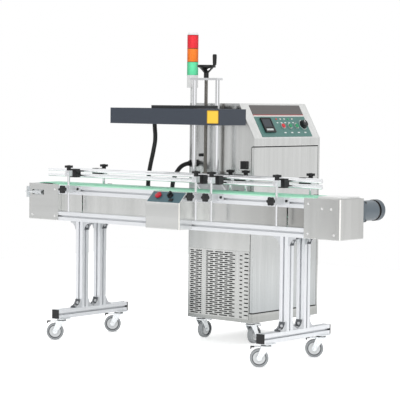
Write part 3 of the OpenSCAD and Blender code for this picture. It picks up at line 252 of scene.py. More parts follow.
class Finish:
    """A material built up from a base finish and further finishes laid over parts of it."""

    def __init__(self, name, colour, roughness, metallic=0.0):
        self.material = bpy.data.materials.new(name)
        self.material.use_nodes = True
        self.tree = self.material.node_tree
        self.shader = self.tree.nodes["Principled BSDF"]
        self.here = self.add("TexCoord", output="Object")
        self.values = {"Base Color": linear(colour), "Roughness": roughness, "Metallic": metallic}
        self.apply()

    def add(self, kind, *values, output=0, **settings):
        """Adds a node to the material and gives one of its outputs."""
        return add_node(self.tree, kind, values, **settings).outputs[output]

    def apply(self):
        """Gives the shader what the finish holds so far."""
        for name, value in self.values.items():
            feed(self.tree, self.shader.inputs[name], value)

    def local(self, origin, rotation):
        """Coordinates in a frame at origin, turned by the angles in rotation."""
        return self.add("Mapping", self.here, origin, rotation, vector_type="TEXTURE")

    def box(self, low, high, place=None):
        """1 inside a box, 0 outside it."""
        middle = [(a + b) / 2 for a, b in zip(low, high)]
        half = [(b - a) / 2 for a, b in zip(low, high)]
        away = self.add("VectorMath", place or self.here, middle, operation="SUBTRACT")
        away = self.add("VectorMath", away, operation="ABSOLUTE")
        past = self.add("VectorMath", away, half, operation="SUBTRACT")
        x, y, z = add_node(self.tree, "SeparateXYZ", (past,)).outputs
        worst = self.add("Math", x, y, operation="MAXIMUM")
        worst = self.add("Math", worst, z, operation="MAXIMUM")
        return self.add("Math", worst, 0.0, operation="LESS_THAN")

    def disc(self, middle, radius, place=None):
        """1 within radius of the line through middle along local Z, 0 outside it."""
        away = self.add("VectorMath", place or self.here, middle, operation="SUBTRACT")
        flat = self.add("VectorMath", away, (1, 1, 0), operation="MULTIPLY")
        distance = self.add("VectorMath", flat, operation="LENGTH", output="Value")
        return self.add("Math", distance, radius, operation="LESS_THAN")

    def noise(self, sizes):
        """Uneven patches from 0 to 1, with the given sizes in millimetres along X, Y and Z."""
        steps = [1 / (size * MM) for size in sizes]
        stretched = self.add("VectorMath", self.here, steps, operation="MULTIPLY")
        patches = self.add("TexNoise", stretched, None, 1.0, NOISE_DETAIL)
        return self.add("MapRange", patches, *NOISE_RANGE, 0.0, 1.0)

    def mix(self, name, mask, top):
        """Lays a value over one of the shader's inputs where the mask picks."""
        made = add_node(self.tree, "Mix", data_type="RGBA" if name == "Base Color" else "FLOAT")
        sockets = [s for s in made.inputs if s.enabled]
        for socket, value in zip((sockets[0], sockets[-2], sockets[-1]), (mask, self.values[name], top)):
            feed(self.tree, socket, value)
        self.values[name] = next(s for s in made.outputs if s.enabled)

    def over(self, mask, colour, roughness, metallic=0.0):
        """Lays another finish over the part that the mask picks."""
        for name, top in (("Base Color", linear(colour)), ("Roughness", roughness), ("Metallic", metallic)):
            self.mix(name, mask, top)
        self.apply()
        return self

    def tint(self, sizes, amount, colour):
        """Uneven colour: patches of the given sizes in millimetres that lean towards another colour."""
        share = self.add("Math", self.noise(sizes), amount, operation="MULTIPLY")
        self.mix("Base Color", share, linear(colour))
        self.apply()
        return self

    def fade(self, axis, start, end, amount, colour):
        """Another colour that comes in along an axis, from nothing at start to an amount at end."""
        along = self.add("SeparateXYZ", self.here, output=axis)
        share = self.add("MapRange", along, start, end, 0.0, amount)
        self.mix("Base Color", share, linear(colour))
        self.apply()
        return self

    def grain(self, sizes, amount, depth=0.0):
        """Uneven gloss in patches of the given sizes in millimetres, and bumps of a depth in metres."""
        patches = self.noise(sizes)
        uneven = self.add("Math", patches, 0.5, operation="SUBTRACT")
        uneven = self.add("Math", uneven, amount, operation="MULTIPLY")
        self.values["Roughness"] = self.add("Math", uneven, self.values["Roughness"], operation="ADD")
        if depth:
            self.bump(patches, depth)
        self.apply()
        return self

    def bump(self, height, depth):
        """Bumps of a depth in metres, on top of the edges' rounding if there is one."""
        made = add_node(self.tree, "Bump")
        made.inputs["Distance"].default_value = depth
        self.tree.links.new(height, made.inputs["Height"])
        previous = self.shader.inputs["Normal"].links
        if previous:
            self.tree.links.new(previous[0].from_socket, made.inputs["Normal"])
        self.tree.links.new(made.outputs[0], self.shader.inputs["Normal"])

    def rounded(self, radius):
        """Edges that shade as if they were rounded by a small radius."""
        made = add_node(self.tree, "Bevel", samples=4)
        made.inputs["Radius"].default_value = radius
        self.tree.links.new(made.outputs[0], self.shader.inputs["Normal"])
        return self


# Finishes: what each material is, how its surface was made, and what that gives the eye

def stainless(name, along, radius=1.5 * MM, colour="#e6e7e6"):
    """Brushed stainless sheet: a soft mirror with darker bands and fine lines along the brushing.

    The lines are 0.2 mm apart on real sheet, and are drawn 4 mm apart so that they show.
    """
    lines = [600 if axis == along else 4 for axis in range(3)]
    bands = [900 if axis == along else 45 for axis in range(3)]
    finish = Finish(name, colour, 0.19, 1.0).rounded(radius)
    return finish.tint(bands, 0.3, "#b9bab8").tint(lines, 0.2, "#b9bab8").grain(lines, 0.10)


def extruded(name, along=0):
    """Anodised aluminium profile: bright satin, with faint die lines along it, drawn 3 mm apart to show."""
    lines = [500 if axis == along else 3 for axis in range(3)]
    finish = Finish(name, "#e9ebee", 0.42, 0.55).rounded(0.8 * MM)
    return finish.tint(lines, 0.3, "#d3d6da").grain(lines, 0.12)


def polished(name):
    """Ground and chromed steel rod: a near mirror that breaks into bright and dark lines."""
    return Finish(name, "#f0f1f3", 0.12, 1.0).grain((8, 8, 8), 0.05)


def zinc_plated(name, colour="#eceff1"):
    """Pressed steel, bright zinc plated: bluish white, with faint patches of about 6 mm."""
    finish = Finish(name, colour, 0.28, 0.8).rounded(0.6 * MM)
    return finish.tint((6, 6, 6), 0.3, "#c6cbce").grain((6, 6, 6), 0.15)


def die_cast(name, colour="#d9dbdd"):
    """Die cast aluminium, shot blasted: pale and matt, with a pebbled skin.

    The pebbles are 0.5 mm wide on real castings, and are drawn at 2 mm so that they show.
    """
    finish = Finish(name, colour, 0.5, 0.5).rounded(1.2 * MM)
    return finish.tint((2, 2, 2), 0.3, "#b7babd").grain((2, 2, 2), 0.15, 0.05 * MM)


def enamel(name, colour, roughness=0.42):
    """Sprayed and baked enamel: an even coat with a soft sheen and an orange peel of about 3 mm."""
    return Finish(name, colour, roughness).rounded(1.2 * MM).grain((3, 3, 3), 0.10, 0.03 * MM)


def moulded(name, colour, roughness=0.42):
    """Moulded plastic: a fine matt grain of 0.3 mm, drawn at 1.5 mm to show, and softened edges."""
    return Finish(name, colour, roughness).rounded(0.8 * MM).grain((1.5, 1.5, 1.5), 0.15, 0.04 * MM)


def dress(finish, *names):
    """Gives CAD nodes a finish."""
    for name in names:
        node = nodes[name]
        node.data.materials.clear()
        node.data.materials.append(finish.material)


# Small tools for new pieces

def start_piece(make, **settings):
    """Adds a primitive with nothing else selected."""
    bpy.ops.object.select_all(action="DESELECT")
    make(**settings)
    return bpy.context.object


def select_only(obj):
    bpy.ops.object.select_all(action="DESELECT")
    obj.select_set(True)
    bpy.context.view_layer.objects.active = obj


def edit(obj, picked=None):
    """Opens a mesh for editing with all of it selected, or with only the vertices that picked accepts."""
    select_only(obj)
    bpy.ops.object.mode_set(mode="EDIT")
    bpy.ops.mesh.select_all(action="SELECT" if picked is None else "DESELECT")
    if picked is not None:
        bpy.ops.object.mode_set(mode="OBJECT")
        for vertex in obj.data.vertices:
            vertex.select = picked(vertex.co)
        bpy.ops.object.mode_set(mode="EDIT")


def apply_modifiers(obj):
    select_only(obj)
    for modifier in list(obj.modifiers):
        bpy.ops.object.modifier_apply(modifier=modifier.name)


def bevel(obj, width, angle=60):
    """Rounds the edges that are sharper than an angle."""
    made = obj.modifiers.new("edges", "BEVEL")
    made.width = width
    made.segments = 2
    made.limit_method = "ANGLE"
    made.angle_limit = math.radians(angle)
    apply_modifiers(obj)


def finished(obj, name, finish, body):
    """Names a new piece, puts its place into its mesh, gives it its finish and hangs it on a body."""
    obj.name = obj.data.name = name
    obj.data.materials.clear()
    obj.data.materials.append(finish.material)
    select_only(obj)
    bpy.ops.object.transform_apply(location=True, rotation=True, scale=True)
    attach(obj, body)
    return obj


# Stage, light and camera

def make_room():
    """Surroundings: a white backdrop behind the object and a greyer room beside it."""
    scene = bpy.context.scene
    scene.view_settings.view_transform = "Standard"
    world = scene.world or bpy.data.worlds.new("surroundings")
    scene.world = world
    world.use_nodes = True
    tree = world.node_tree
    look = add_node(tree, "TexCoord").outputs["Generated"]
    facing = add_node(tree, "VectorMath", (look, TOWARDS_CAMERA), operation="DOT_PRODUCT")
    round_room = add_node(tree, "MapRange", (facing.outputs["Value"], -1.0, 1.0, 0.0, 1.0))
    ramp = add_node(tree, "ValToRGB", (round_room.outputs[0],))
    stops = ramp.color_ramp.elements
    for stop, (_, level) in zip(stops, (ROOM_LEVELS[0], ROOM_LEVELS[-1])):
        stop.color = (level, level, level, 1)
    for place, level in ROOM_LEVELS[1:-1]:
        stops.new(place).color = (level, level, level, 1)
    height = add_node(tree, "SeparateXYZ", (look,)).outputs["Z"]
    ceiling = add_node(tree, "MapRange", (height, CEILING_STARTS, CEILING_FULL, 0.0, CEILING_LIGHT),
                       interpolation_type="SMOOTHSTEP")
    lit = add_node(tree, "Math", (ramp.outputs[0], ceiling.outputs[0]), operation="ADD")
    seen = add_node(tree, "LightPath").outputs["Is Camera Ray"]
    strength = add_node(tree, "Math", (lit.outputs[0], seen), operation="MAXIMUM")
    background = tree.nodes["Background"]
    background.inputs["Color"].default_value = (1, 1, 1, 1)
    tree.links.new(strength.outputs[0], background.inputs["Strength"])


def make_floor():
    """Pale floor that keeps the object's shadow."""
    floor = start_piece(bpy.ops.mesh.primitive_plane_add, size=FLOOR_SIZE, location=MID)
    floor.name = "floor"
    pale = Finish("pale studio floor", "#f4f4f4", 0.7)
    rays = add_node(pale.tree, "LightPath").outputs
    seen = pale.add("Math", rays["Is Camera Ray"], rays["Is Glossy Ray"], operation="MAXIMUM")
    seen = pale.add("Math", seen, rays["Is Transmission Ray"], operation="MAXIMUM")
    pale.values["Emission Color"] = (1, 1, 1, 1)
    pale.values["Emission Strength"] = pale.add("Math", seen, FLOOR_GLOW, operation="MULTIPLY")
    pale.apply()
    floor.data.materials.append(pale.material)


def make_lamp():
    """One tall soft lamp on the camera's side."""
    place = MID + TOWARDS_CAMERA * LAMP_AWAY + Vector((0, 0, LAMP_HEIGHT))
    lamp = start_piece(bpy.ops.object.light_add, type="AREA", location=place)
    lamp.data.shape = "RECTANGLE"
    lamp.data.size, lamp.data.size_y = LAMP_SIZE
    lamp.data.energy = LAMP_POWER
    lamp.visible_glossy = False
    lamp.rotation_euler = (LAMP_AIM - place).to_track_quat("-Z", "Y").to_euler()


def make_camera():
    """The photograph's camera, from its yaw, pitch and roll."""
    level = Vector((math.cos(CAMERA_YAW), math.sin(CAMERA_YAW), 0))
    forward = -TOWARDS_CAMERA * math.cos(CAMERA_PITCH) - Vector((0, 0, math.sin(CAMERA_PITCH)))
    upright = level.cross(forward)
    right = level * math.cos(CAMERA_ROLL) + upright * math.sin(CAMERA_ROLL)
    up = upright * math.cos(CAMERA_ROLL) - level * math.sin(CAMERA_ROLL)
    bpy.ops.object.camera_add()
    camera = bpy.context.object
    turn = Matrix((right, up, -forward)).transposed().to_4x4()
    camera.matrix_world = Matrix.Translation(CAMERA_AT) @ turn
    camera.data.lens = CAMERA_LENS
    camera.data.sensor_width = CAMERA_SENSOR
    camera.data.clip_end = CAMERA_SEES
    bpy.context.scene.camera = camera


# New pieces

def make_hose():
    """Corrugated hose: one ridge repeated along the route."""
    route = [MID + Vector(p) * MM for p in HOSE_ROUTE]
    length = sum((b - a).length for a, b in zip(route, route[1:]))
    bpy.ops.curve.primitive_bezier_curve_add()
    line = bpy.context.object
    spline = line.data.splines[0]
    spline.bezier_points.add(len(route) - 2)
    for point, at in zip(spline.bezier_points, route):
        point.co = at
        point.handle_left_type = point.handle_right_type = "AUTO"
    line.location = (0, 0, 0)
    root = HOSE_ROOT * HOSE_DIAMETER / 2
    hose = start_piece(bpy.ops.mesh.primitive_cylinder_add, vertices=16, radius=root, depth=HOSE_PITCH,
                       end_fill_type="NOTHING", rotation=(0, math.pi / 2, 0))
    bpy.ops.object.transform_apply(location=True, rotation=True, scale=True)
    edit(hose)
    bpy.ops.mesh.subdivide(number_cuts=3)
    bpy.ops.object.mode_set(mode="OBJECT")
    for v in hose.data.vertices:
        swell = 1 + HOSE_SWELL * (1 - (abs(v.co.x) / (HOSE_PITCH / 2)) ** 2)
        v.co.y *= swell
        v.co.z *= swell
        v.co.x += HOSE_PITCH / 2
    ridges = hose.modifiers.new("ridges", "ARRAY")
    ridges.count = round(length / HOSE_PITCH)
    ridges.use_merge_vertices = True
    ridges.merge_threshold = 1e-5
    hose.modifiers.new("route", "CURVE").object = line
    apply_modifiers(hose)
    bpy.ops.object.shade_smooth()
    bpy.data.objects.remove(line)
    # Moulded rubber: black and softly glossy, with a dusty unevenness
    rubber = Finish("black corrugated rubber hose", "#101011", 0.42).grain((4, 4, 4), 0.2)
    hose.name = hose.data.name = "corrugated_hose"
    hose.data.materials.append(rubber.material)
    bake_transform(hose)
    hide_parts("hose")


def make_lead_screw():
    """Lead screw with its cut thread: one turn repeated up the screw, and a thrust collar near its foot."""
    low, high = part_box("lead_screw")
    middle = (low + high) / 2
    turns = round((high.z - low.z) / THREAD_PITCH)
    pitch = (high.z - low.z) / turns
    rod = start_piece(bpy.ops.mesh.primitive_cylinder_add, vertices=12, radius=SCREW_RADIUS, depth=pitch,
                      end_fill_type="NOTHING", location=(middle.x, middle.y, low.z + pitch / 2))
    edit(rod)
    bpy.ops.mesh.subdivide(number_cuts=3)
    bpy.ops.object.mode_set(mode="OBJECT")
    for v in rod.data.vertices:
        # A flat crest, sloping flanks and a flat root
        phase = (v.co.z / pitch - math.atan2(v.co.y, v.co.x) / (2 * math.pi)) % 1
        cut = min(max(2 * abs(2 * phase - 1) - 0.5, 0), 1)
        v.co.xy = v.co.xy.normalized() * (SCREW_RADIUS - THREAD_DEPTH * cut)
    thread = rod.modifiers.new("thread", "ARRAY")
    thread.count = turns
    thread.relative_offset_displace = (0, 0, 1)
    thread.use_merge_vertices = True
    thread.merge_threshold = 1e-5
    apply_modifiers(rod)
    edit(rod)
    bpy.ops.mesh.fill_holes(sides=0)
    bpy.ops.object.mode_set(mode="OBJECT")
    place = (middle.x, middle.y, low.z + COLLAR_UP + COLLAR_DEEP / 2)
    collar = start_piece(bpy.ops.mesh.primitive_cylinder_add, vertices=48, radius=(high.x - low.x) / 2,
                         depth=COLLAR_DEEP, location=place)
    bevel(collar, 1 * MM)
    select_only(rod)
    collar.select_set(True)
    bpy.ops.object.join()
    bpy.ops.object.shade_smooth_by_angle(angle=math.radians(40))
    # Cut steel, oiled: bright crests, brown-grey oil in the roots
    steel = Finish("oiled steel lead screw, cut thread", "#8b8782", 0.3, 0.85)
    steel.tint((3, 3, 12), 0.5, "#5d5955")
    finished(rod, "lead_screw_thread", steel, "crank")
    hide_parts("lead_screw")


def make_lenses():
    """Fluted lenses of the tower light: every second half of a flute is drawn in towards the axis."""
    for name, colour, deep in LENS_COLOURS:
        low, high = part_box(f"tower_lens_{name}")
        radius = (high.x - low.x) / 2
        lens = start_piece(bpy.ops.mesh.primitive_cylinder_add, vertices=4 * LENS_FLUTES, radius=radius,
                           depth=high.z - low.z, location=(low + high) / 2)
        # Each flute has four corners, and the second half of them is drawn in
        edit(lens, lambda at: (math.atan2(at.y, at.x) / (2 * math.pi) * LENS_FLUTES + 0.125) % 1 > 0.5)
        inward = 1 - FLUTE_DEPTH / radius
        bpy.ops.transform.resize(value=(inward, inward, 1), center_override=(low + high) / 2)
        bpy.ops.object.mode_set(mode="OBJECT")
        bevel(lens, 1 * MM)
        bpy.ops.object.shade_smooth_by_angle(angle=math.radians(50))
        # Clear coloured plastic, moulded: glossy, deeper in colour at its rim, with a weak painted glow standing
        # in for light shining through it
        glass = Finish(f"{name} moulded lens plastic under a dark seal", colour, 0.3)
        glass.grain((4, 4, 20), 0.08)
        glass.mix("Base Color", glass.add("LayerWeight", LENS_RIM, output="Facing"), linear(deep))
        glass.values["Emission Color"] = linear(colour)
        glass.values["Emission Strength"] = LENS_PAINTED_GLOW
        glass.over(glass.box((low.x, low.y, high.z - LENS_SEAL), high), "#3a2524", 0.5)
        finished(lens, f"fluted_lens_{name}", glass, "machine_frame")
        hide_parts(f"tower_lens_{name}")


def make_yellow_plate():
    """Plain yellow plate on the head, with rounded corners and a raised rim."""
    front = MID.y - HEAD_HALF
    low = Vector((MID.x + PLATE_X[0], front - PLATE_THICK, PLATE_Z[0]))
    high = Vector((MID.x + PLATE_X[1], front, PLATE_Z[1]))
    plate = start_piece(bpy.ops.mesh.primitive_cube_add, size=1, location=(low + high) / 2)
    plate.scale = high - low
    bpy.ops.object.transform_apply(location=True, rotation=True, scale=True)
    edit(plate)
    bpy.ops.mesh.select_mode(type="EDGE")
    bpy.ops.object.mode_set(mode="OBJECT")
    for edge in plate.data.edges:
        a, b = (plate.data.vertices[i].co for i in edge.vertices)
        edge.select = abs(a.y - b.y) > PLATE_THICK / 2
    for face in plate.data.polygons:
        face.select = False
    bpy.ops.object.mode_set(mode="EDIT")
    bpy.ops.mesh.bevel(offset=PLATE_CORNER, segments=5)
    bpy.ops.mesh.select_mode(type="FACE")
    bpy.ops.mesh.select_all(action="DESELECT")
    bpy.ops.object.mode_set(mode="OBJECT")
    for face in plate.data.polygons:
        face.select = face.normal.y < -0.9
    bpy.ops.object.mode_set(mode="EDIT")
    bpy.ops.mesh.inset(thickness=PLATE_RIM)
    bpy.ops.transform.translate(value=(0, PLATE_THICK / 2, 0))
    bpy.ops.mesh.select_mode(type="VERT")
    bpy.ops.object.mode_set(mode="OBJECT")
    paint = enamel("yellow enamelled plate with a darker rim", "#b98f26")
    rim = Vector((PLATE_RIM, -1, PLATE_RIM))
    paint.over(paint.box(low + rim, high - rim), "#efc53f", 0.4)
    finished(plate, "yellow_plate", paint, "head")


def make_drive_cover():
    """Stainless cover over the belt at the drive end: a top on sides with flanges, its end folded down."""
    profile = ((-COVER_FLANGE, COVER_LOW), (-COVER_SIDE, COVER_LOW), (-COVER_TOP, COVER_HIGH),
               (COVER_TOP, COVER_HIGH), (COVER_SIDE, COVER_LOW), (COVER_FLANGE, COVER_LOW))
    folds = len(profile) - 1
    cover = start_piece(bpy.ops.mesh.primitive_grid_add, x_subdivisions=2, y_subdivisions=folds, size=2)
    for v in cover.data.vertices:
        y, z = profile[round((v.co.y + 1) / 2 * folds)]
        end = round(v.co.x + 1)
        v.co = MID + Vector((COVER_X[end], y, COVER_LOW if end == 2 else z))
    sheet = cover.modifiers.new("sheet", "SOLIDIFY")
    sheet.thickness = COVER_THICK
    sheet.offset = 1
    apply_modifiers(cover)
    steel = stainless("stainless cover sheet, brushed along", 0)
    finished(cover, "drive_cover", steel, "machine_frame")


# Finishes of the CAD solids

def slope_frame(node, slope, axis):
    """Origin and turn of a sloping face: X or Y runs along the slope, and Z points out of it."""
    low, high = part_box(node)
    run, drop = slope
    angle = math.atan2(drop, run)
    if axis == "x":
        return (high.x - run, low.y, high.z), (0, angle, 0)
    return (low.x, low.y, high.z - drop), (angle, 0, 0)


def band(low, high, **kept):
    """Corners of a mask well outside a box, except along the axes given by name with their start and end."""
    first = [corner - BEYOND for corner in low]
    last = [corner + BEYOND for corner in high]
    for name, (start, end) in kept.items():
        axis = "xyz".index(name)
        first[axis], last[axis] = start, end
    return first, last


def paint_fold_highlight(finish, node, colour):
    """A painted highlight along the upright fold at the front of a box, on its drive end's side."""
    low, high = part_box(node)
    across = (high.x - FOLD_HIGHLIGHT, high.x + BEYOND)
    inward = (low.y - BEYOND, low.y + FOLD_HIGHLIGHT)
    finish.over(finish.box(*band(low, high, x=across, y=inward)), colour, 0.35, 0.3)


def dress_conveyor():
    """Sheet boxes and side sheets, aluminium beams and legs, the belt on its bed, and bearing parts."""
    low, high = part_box("tail_box")
    box = stainless("stainless end box, brushed along, dark inside", 0, BOX_EDGE, "#d9dad9")
    # Painted shade: the end box's inside is near black
    dress(box.over(box.box(low + SKIN, high - SKIN), *PAINTED_SHADE_INSIDE), "tail_box")
    low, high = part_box("drive_box")
    box = stainless("stainless end box, brushed upright, with a bright fold", 2, BOX_EDGE)
    # Painted shade: the box darkens towards its drive end, then a painted highlight goes along its fold
    box.fade("X", low.x, high.x, 0.18, "#86807a")
    paint_fold_highlight(box, "drive_box", "#fbfaf7")
    dress(box, "drive_box")
    low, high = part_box("side_panels")
    panels = stainless("stainless side sheet with black edge seals", 2)
    for z in (low.z, high.z - EDGE_SEAL):
        seal = panels.box(*band(low, high, x=(low.x, high.x), z=(z, z + EDGE_SEAL)))
        panels.over(seal, "#1c1c1e", 0.6)
    # Painted shade: darker towards the drive box
    dress(panels.fade("X", *PANEL_PAINTED_SHADE, 0.6, "#8a8883"), "side_panels")
    dress(extruded("anodised aluminium beam"), "frame_beams")
    feet = extruded("anodised aluminium leg with black foot caps", 2)
    low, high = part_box("leg_frames")
    for y in (low.y, high.y - FOOT_CAP):
        feet.over(feet.box(*band(low, high, y=(y - FOOT_CAP, y + FOOT_CAP))), "#121214", 0.5)
    dress(feet, "leg_frames")
    # Extruded plastic, waxy and pale, with slight waves along it
    strip = Finish("green edge strip, extruded plastic", "#b3e3cb", 0.4).tint((60, 60, 60), 0.3, "#9ad9b9")
    dress(strip.grain((60, 3, 3), 0.1), "belt_bed")
    # Coated fabric: the cloth under the coat shows as a fine weave of 1 mm, drawn at 4 mm to show
    belt = Finish("green coated belt fabric", "#92d6b8", 0.5).tint((80, 80, 80), 0.25, "#aee2ca")
    waves = []
    for axis in ("X", "Y"):
        along = belt.add("SeparateXYZ", belt.here, output=axis)
        angle = belt.add("Math", along, 2 * math.pi / WEAVE_PITCH, operation="MULTIPLY")
        waves.append(belt.add("Math", angle, operation="SINE"))
    belt.bump(belt.add("Math", *waves, operation="MULTIPLY"), WEAVE_DEPTH)
    dress(belt, "belt")
    dress(zinc_plated("zinc plated bearing parts", "#dfe2e4"), "roller_bearings")
    # Machined button heads: small bright domes
    screws = Finish("bright steel button-head screw", "#f2f2f2", 0.28, 0.7)
    dress(screws.grain((2, 2, 2), 0.1), "frame_screws")
    # Turned steel: rings left by the tool, drawn 2 mm apart
    drums = Finish("turned steel drum", "#9a9c9e", 0.3, 0.9)
    dress(drums.grain((200, 2, 200), 0.2), "drive_roller", "tail_roller")


def dress_gear_motor():
    """Slate enamel, with painted shade in the gap before the end bell and dark bolts on the gear head."""
    motor = enamel("slate enamel gear motor with a dark gap before its end bell", "#5d6870", 0.4)
    low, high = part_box("gear_motor")
    bell = high.y - MOTOR_BELL
    # Painted shade: the gap before the end bell is near black
    motor.over(motor.box(*band(low, high, y=(bell - MOTOR_SHADED_GAP, bell))), "#0e0f11", 0.42)
    motor.over(motor.box(*band(low, high, y=(bell, high.y + BEYOND))), "#525c64", 0.42)
    axis = Vector(((low.x + high.x) / 2, low.y + GEAR_DEEP, (low.z + high.z) / 2))
    reach = Vector((BOLT_HALF, 0, BOLT_HALF))
    deep = Vector((0, BOLT_DEEP, 0))
    for x in (-GEAR_BOLT, GEAR_BOLT):
        for z in (-GEAR_BOLT, GEAR_BOLT):
            bolt = axis + Vector((x, 0, z))
            motor.over(motor.box(bolt - reach, bolt + reach + deep), "#0e0f11", 0.4)
    dress(motor, "gear_motor")


def dress_corner_brackets():
    """Die cast brackets with painted shade in the hollow between their webs; one folded frame serves all of them.
    """
    low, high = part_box("corner_brackets")
    half = (high - low) / 2
    leg = (half.x - BRACKET_FAR, half.y - BRACKET_FAR, 0)
    finish = die_cast("die cast corner bracket, dark in its hollow", "#cdcfd2")
    middle = (low + high) / 2 * Vector((1, 1, 0))
    folded = finish.here
    for centre in (middle, leg):
        away = finish.add("VectorMath", folded, centre, operation="SUBTRACT")
        folded = finish.add("VectorMath", away, operation="ABSOLUTE")
    wall = BRACKET_NEAR + BRACKET_WALL
    for far, deep in ((BRACKET_FAR, BRACKET_WALL), (wall, BRACKET_FAR - BRACKET_NEAR)):
        upper = finish.box((BRACKET_NEAR, -BEYOND, high.z - deep),
                           (far, BRACKET_HOLLOW, high.z + BEYOND), folded)
        lower = finish.box((-BEYOND, BRACKET_NEAR, low.z - BEYOND),
                           (BRACKET_HOLLOW, far, low.z + deep), folded)
        hollow = finish.add("Math", upper, lower, operation="MAXIMUM")
        # Painted shade in the hollow between the webs
        finish.over(hollow, "#595c60", 0.5, 0.3)
    dress(finish, "corner_brackets")


def dress_control_box():
    """Stainless box with a printed film and black fittings on its sloping face, and all push buttons."""
    low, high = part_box("control_box")
    origin, turn = slope_frame("control_box", BOX_SLOPE, "y")
    finish = stainless("stainless control box with a bright fold and a printed face", 0, BOX_EDGE)
    # Painted highlight along the box's front fold
    paint_fold_highlight(finish, "control_box", "#f1efe9")
    place = finish.local(origin, turn)
    face_end = (high.x - low.x, math.hypot(*BOX_SLOPE), FACE_REACH)
    for height, colour in ((BOX_FILM, "#45646d"), (BOX_FITTINGS, "#121315")):
        finish.over(finish.box((0, 0, height), face_end, place), colour, 0.4)
    dress(finish, "control_box")
    dress(moulded("red mushroom button, moulded", "#b5172b", 0.3), "stop_button")
    dress(moulded("red push button, moulded", "#d01a28", 0.3), "stop_push_button")
    dress(moulded("green push button, moulded", "#16905e", 0.3), "start_push_button", "reset_push_button")
    dress(moulded("black speed knob, moulded", BLACK), "speed_knob")


def dress_post_brackets():
    """Pale aluminium brackets with black knobs and black screws."""
    brackets = die_cast("aluminium post bracket with black knobs")
    low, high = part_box("post_brackets")
    for start, end in ((low.y, low.y + KNOB_DEPTH), (high.y - KNOB_DEPTH, high.y)):
        brackets.over(brackets.box(*band(low, high, y=(start - SPARE, end))), BLACK, 0.42)
    for post in POST_PLACES:
        x = MID.x + post + FOOT_SCREW_X
        for y in (MID.y - FOOT_SCREW_Y, MID.y + FOOT_SCREW_Y):
            screw = brackets.box((x - SCREW_HALF_X, y - SCREW_HALF_Y, low.z),
                                 (x + SCREW_HALF_X, y + SCREW_HALF_Y, high.z))
            brackets.over(screw, BLACK, 0.42)
    dress(brackets, "post_brackets")


def dress_guides(side, end):
    """Posts and rails of one corner: polished rods, pale cross blocks, and black knobs and rail clamps."""
    posts = polished(f"{side} {end} chromed posts with black star knobs")
    low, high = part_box(f"{side}_{end}_posts")
    knob = high.z - KNOB_DEPTH
    posts.over(posts.box(*band(low, high, z=(knob - CROSS_BLOCK, knob))), "#dfe1e3", 0.4, 0.7)
    posts.over(posts.box(*band(low, high, z=(knob, high.z + BEYOND))), BLACK, 0.42)
    dress(posts, f"{side}_{end}_posts")
    rails = polished(f"{side} {end} chromed rails with black clamps")
    rails_low, rails_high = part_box(f"{side}_{end}_rails")
    inward = 1 if side == "front" else -1
    reach = sorted((low.y + high.y) / 2 + inward * distance for distance in CLAMP_REACH)
    for post in (low.x + KNOB_RADIUS, high.x - KNOB_RADIUS):
        along = (post - CLAMP_HALF, post + CLAMP_HALF)
        rails.over(rails.box(*band(rails_low, rails_high, x=along, y=reach)), BLACK, 0.42)
    dress(rails, f"{side}_{end}_rails")


def dress_fork(name, joint):
    """Zinc plated fork; the conveyor's forks have a brake pedal with a black pad."""
    braked = name.startswith("conveyor")
    fork = zinc_plated(f"{name} zinc plated" + (", with a black pedal pad" if braked else ""))
    if braked:
        place = fork.local(Vector(joint["pos_m"]) * Vector((1, 1, 0)), (0, 0, CASTER_YAW))
        pad = fork.box((-CASTER_HALF, -CASTER_HALF, PEDAL_LOW), (PEDAL_PAD, CASTER_HALF, CASTER_HALF), place)
        fork.over(pad, BLACK, 0.5)
    dress(fork, name)


def dress_wheel(name, joint):
    """Moulded rubber on a plastic hub: a scuffed grey tread and a paler, smoother middle, with a ring of painted
    shade between them.
    """
    wheel = Finish(f"{name} grey rubber tread on a pale hub", "#9a9d9f", 0.6)
    wheel.grain((5, 5, 5), 0.2).tint((12, 12, 12), 0.4, "#808385")
    turn = Vector(joint["axis"]).to_track_quat("Z", "Y").to_euler()
    place = wheel.local(Vector(joint["pos_m"]), turn)
    # The outer ring is painted shade at the step down to the web, and the inner one is the pale hub
    for radius, colour in WHEEL_RINGS:
        wheel.over(wheel.disc((0, 0, 0), radius, place), colour, 0.5)
    dress(wheel, name)


def dress_casters():
    """Caster plates with painted shade at their ball races, and the forks and wheels of all casters."""
    plates = zinc_plated("zinc plated caster plate with an oiled ball race")
    low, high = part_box("caster_plates")
    # Painted shade: a dark band at the ball race
    plates.over(plates.box(*band(low, high, z=RACE_HEIGHT)), "#3a3c3e", 0.4, 0.6)
    dress(plates, "caster_plates")
    joints = {joint["child"]: joint for joint in frame["joints"]}
    for body, members in frame["record"]["behaviour"]["bodies"].items():
        for name in members:
            if "_fork_" in name:
                dress_fork(name, joints[body])
            elif "_wheel_" in name:
                dress_wheel(name, joints[body])


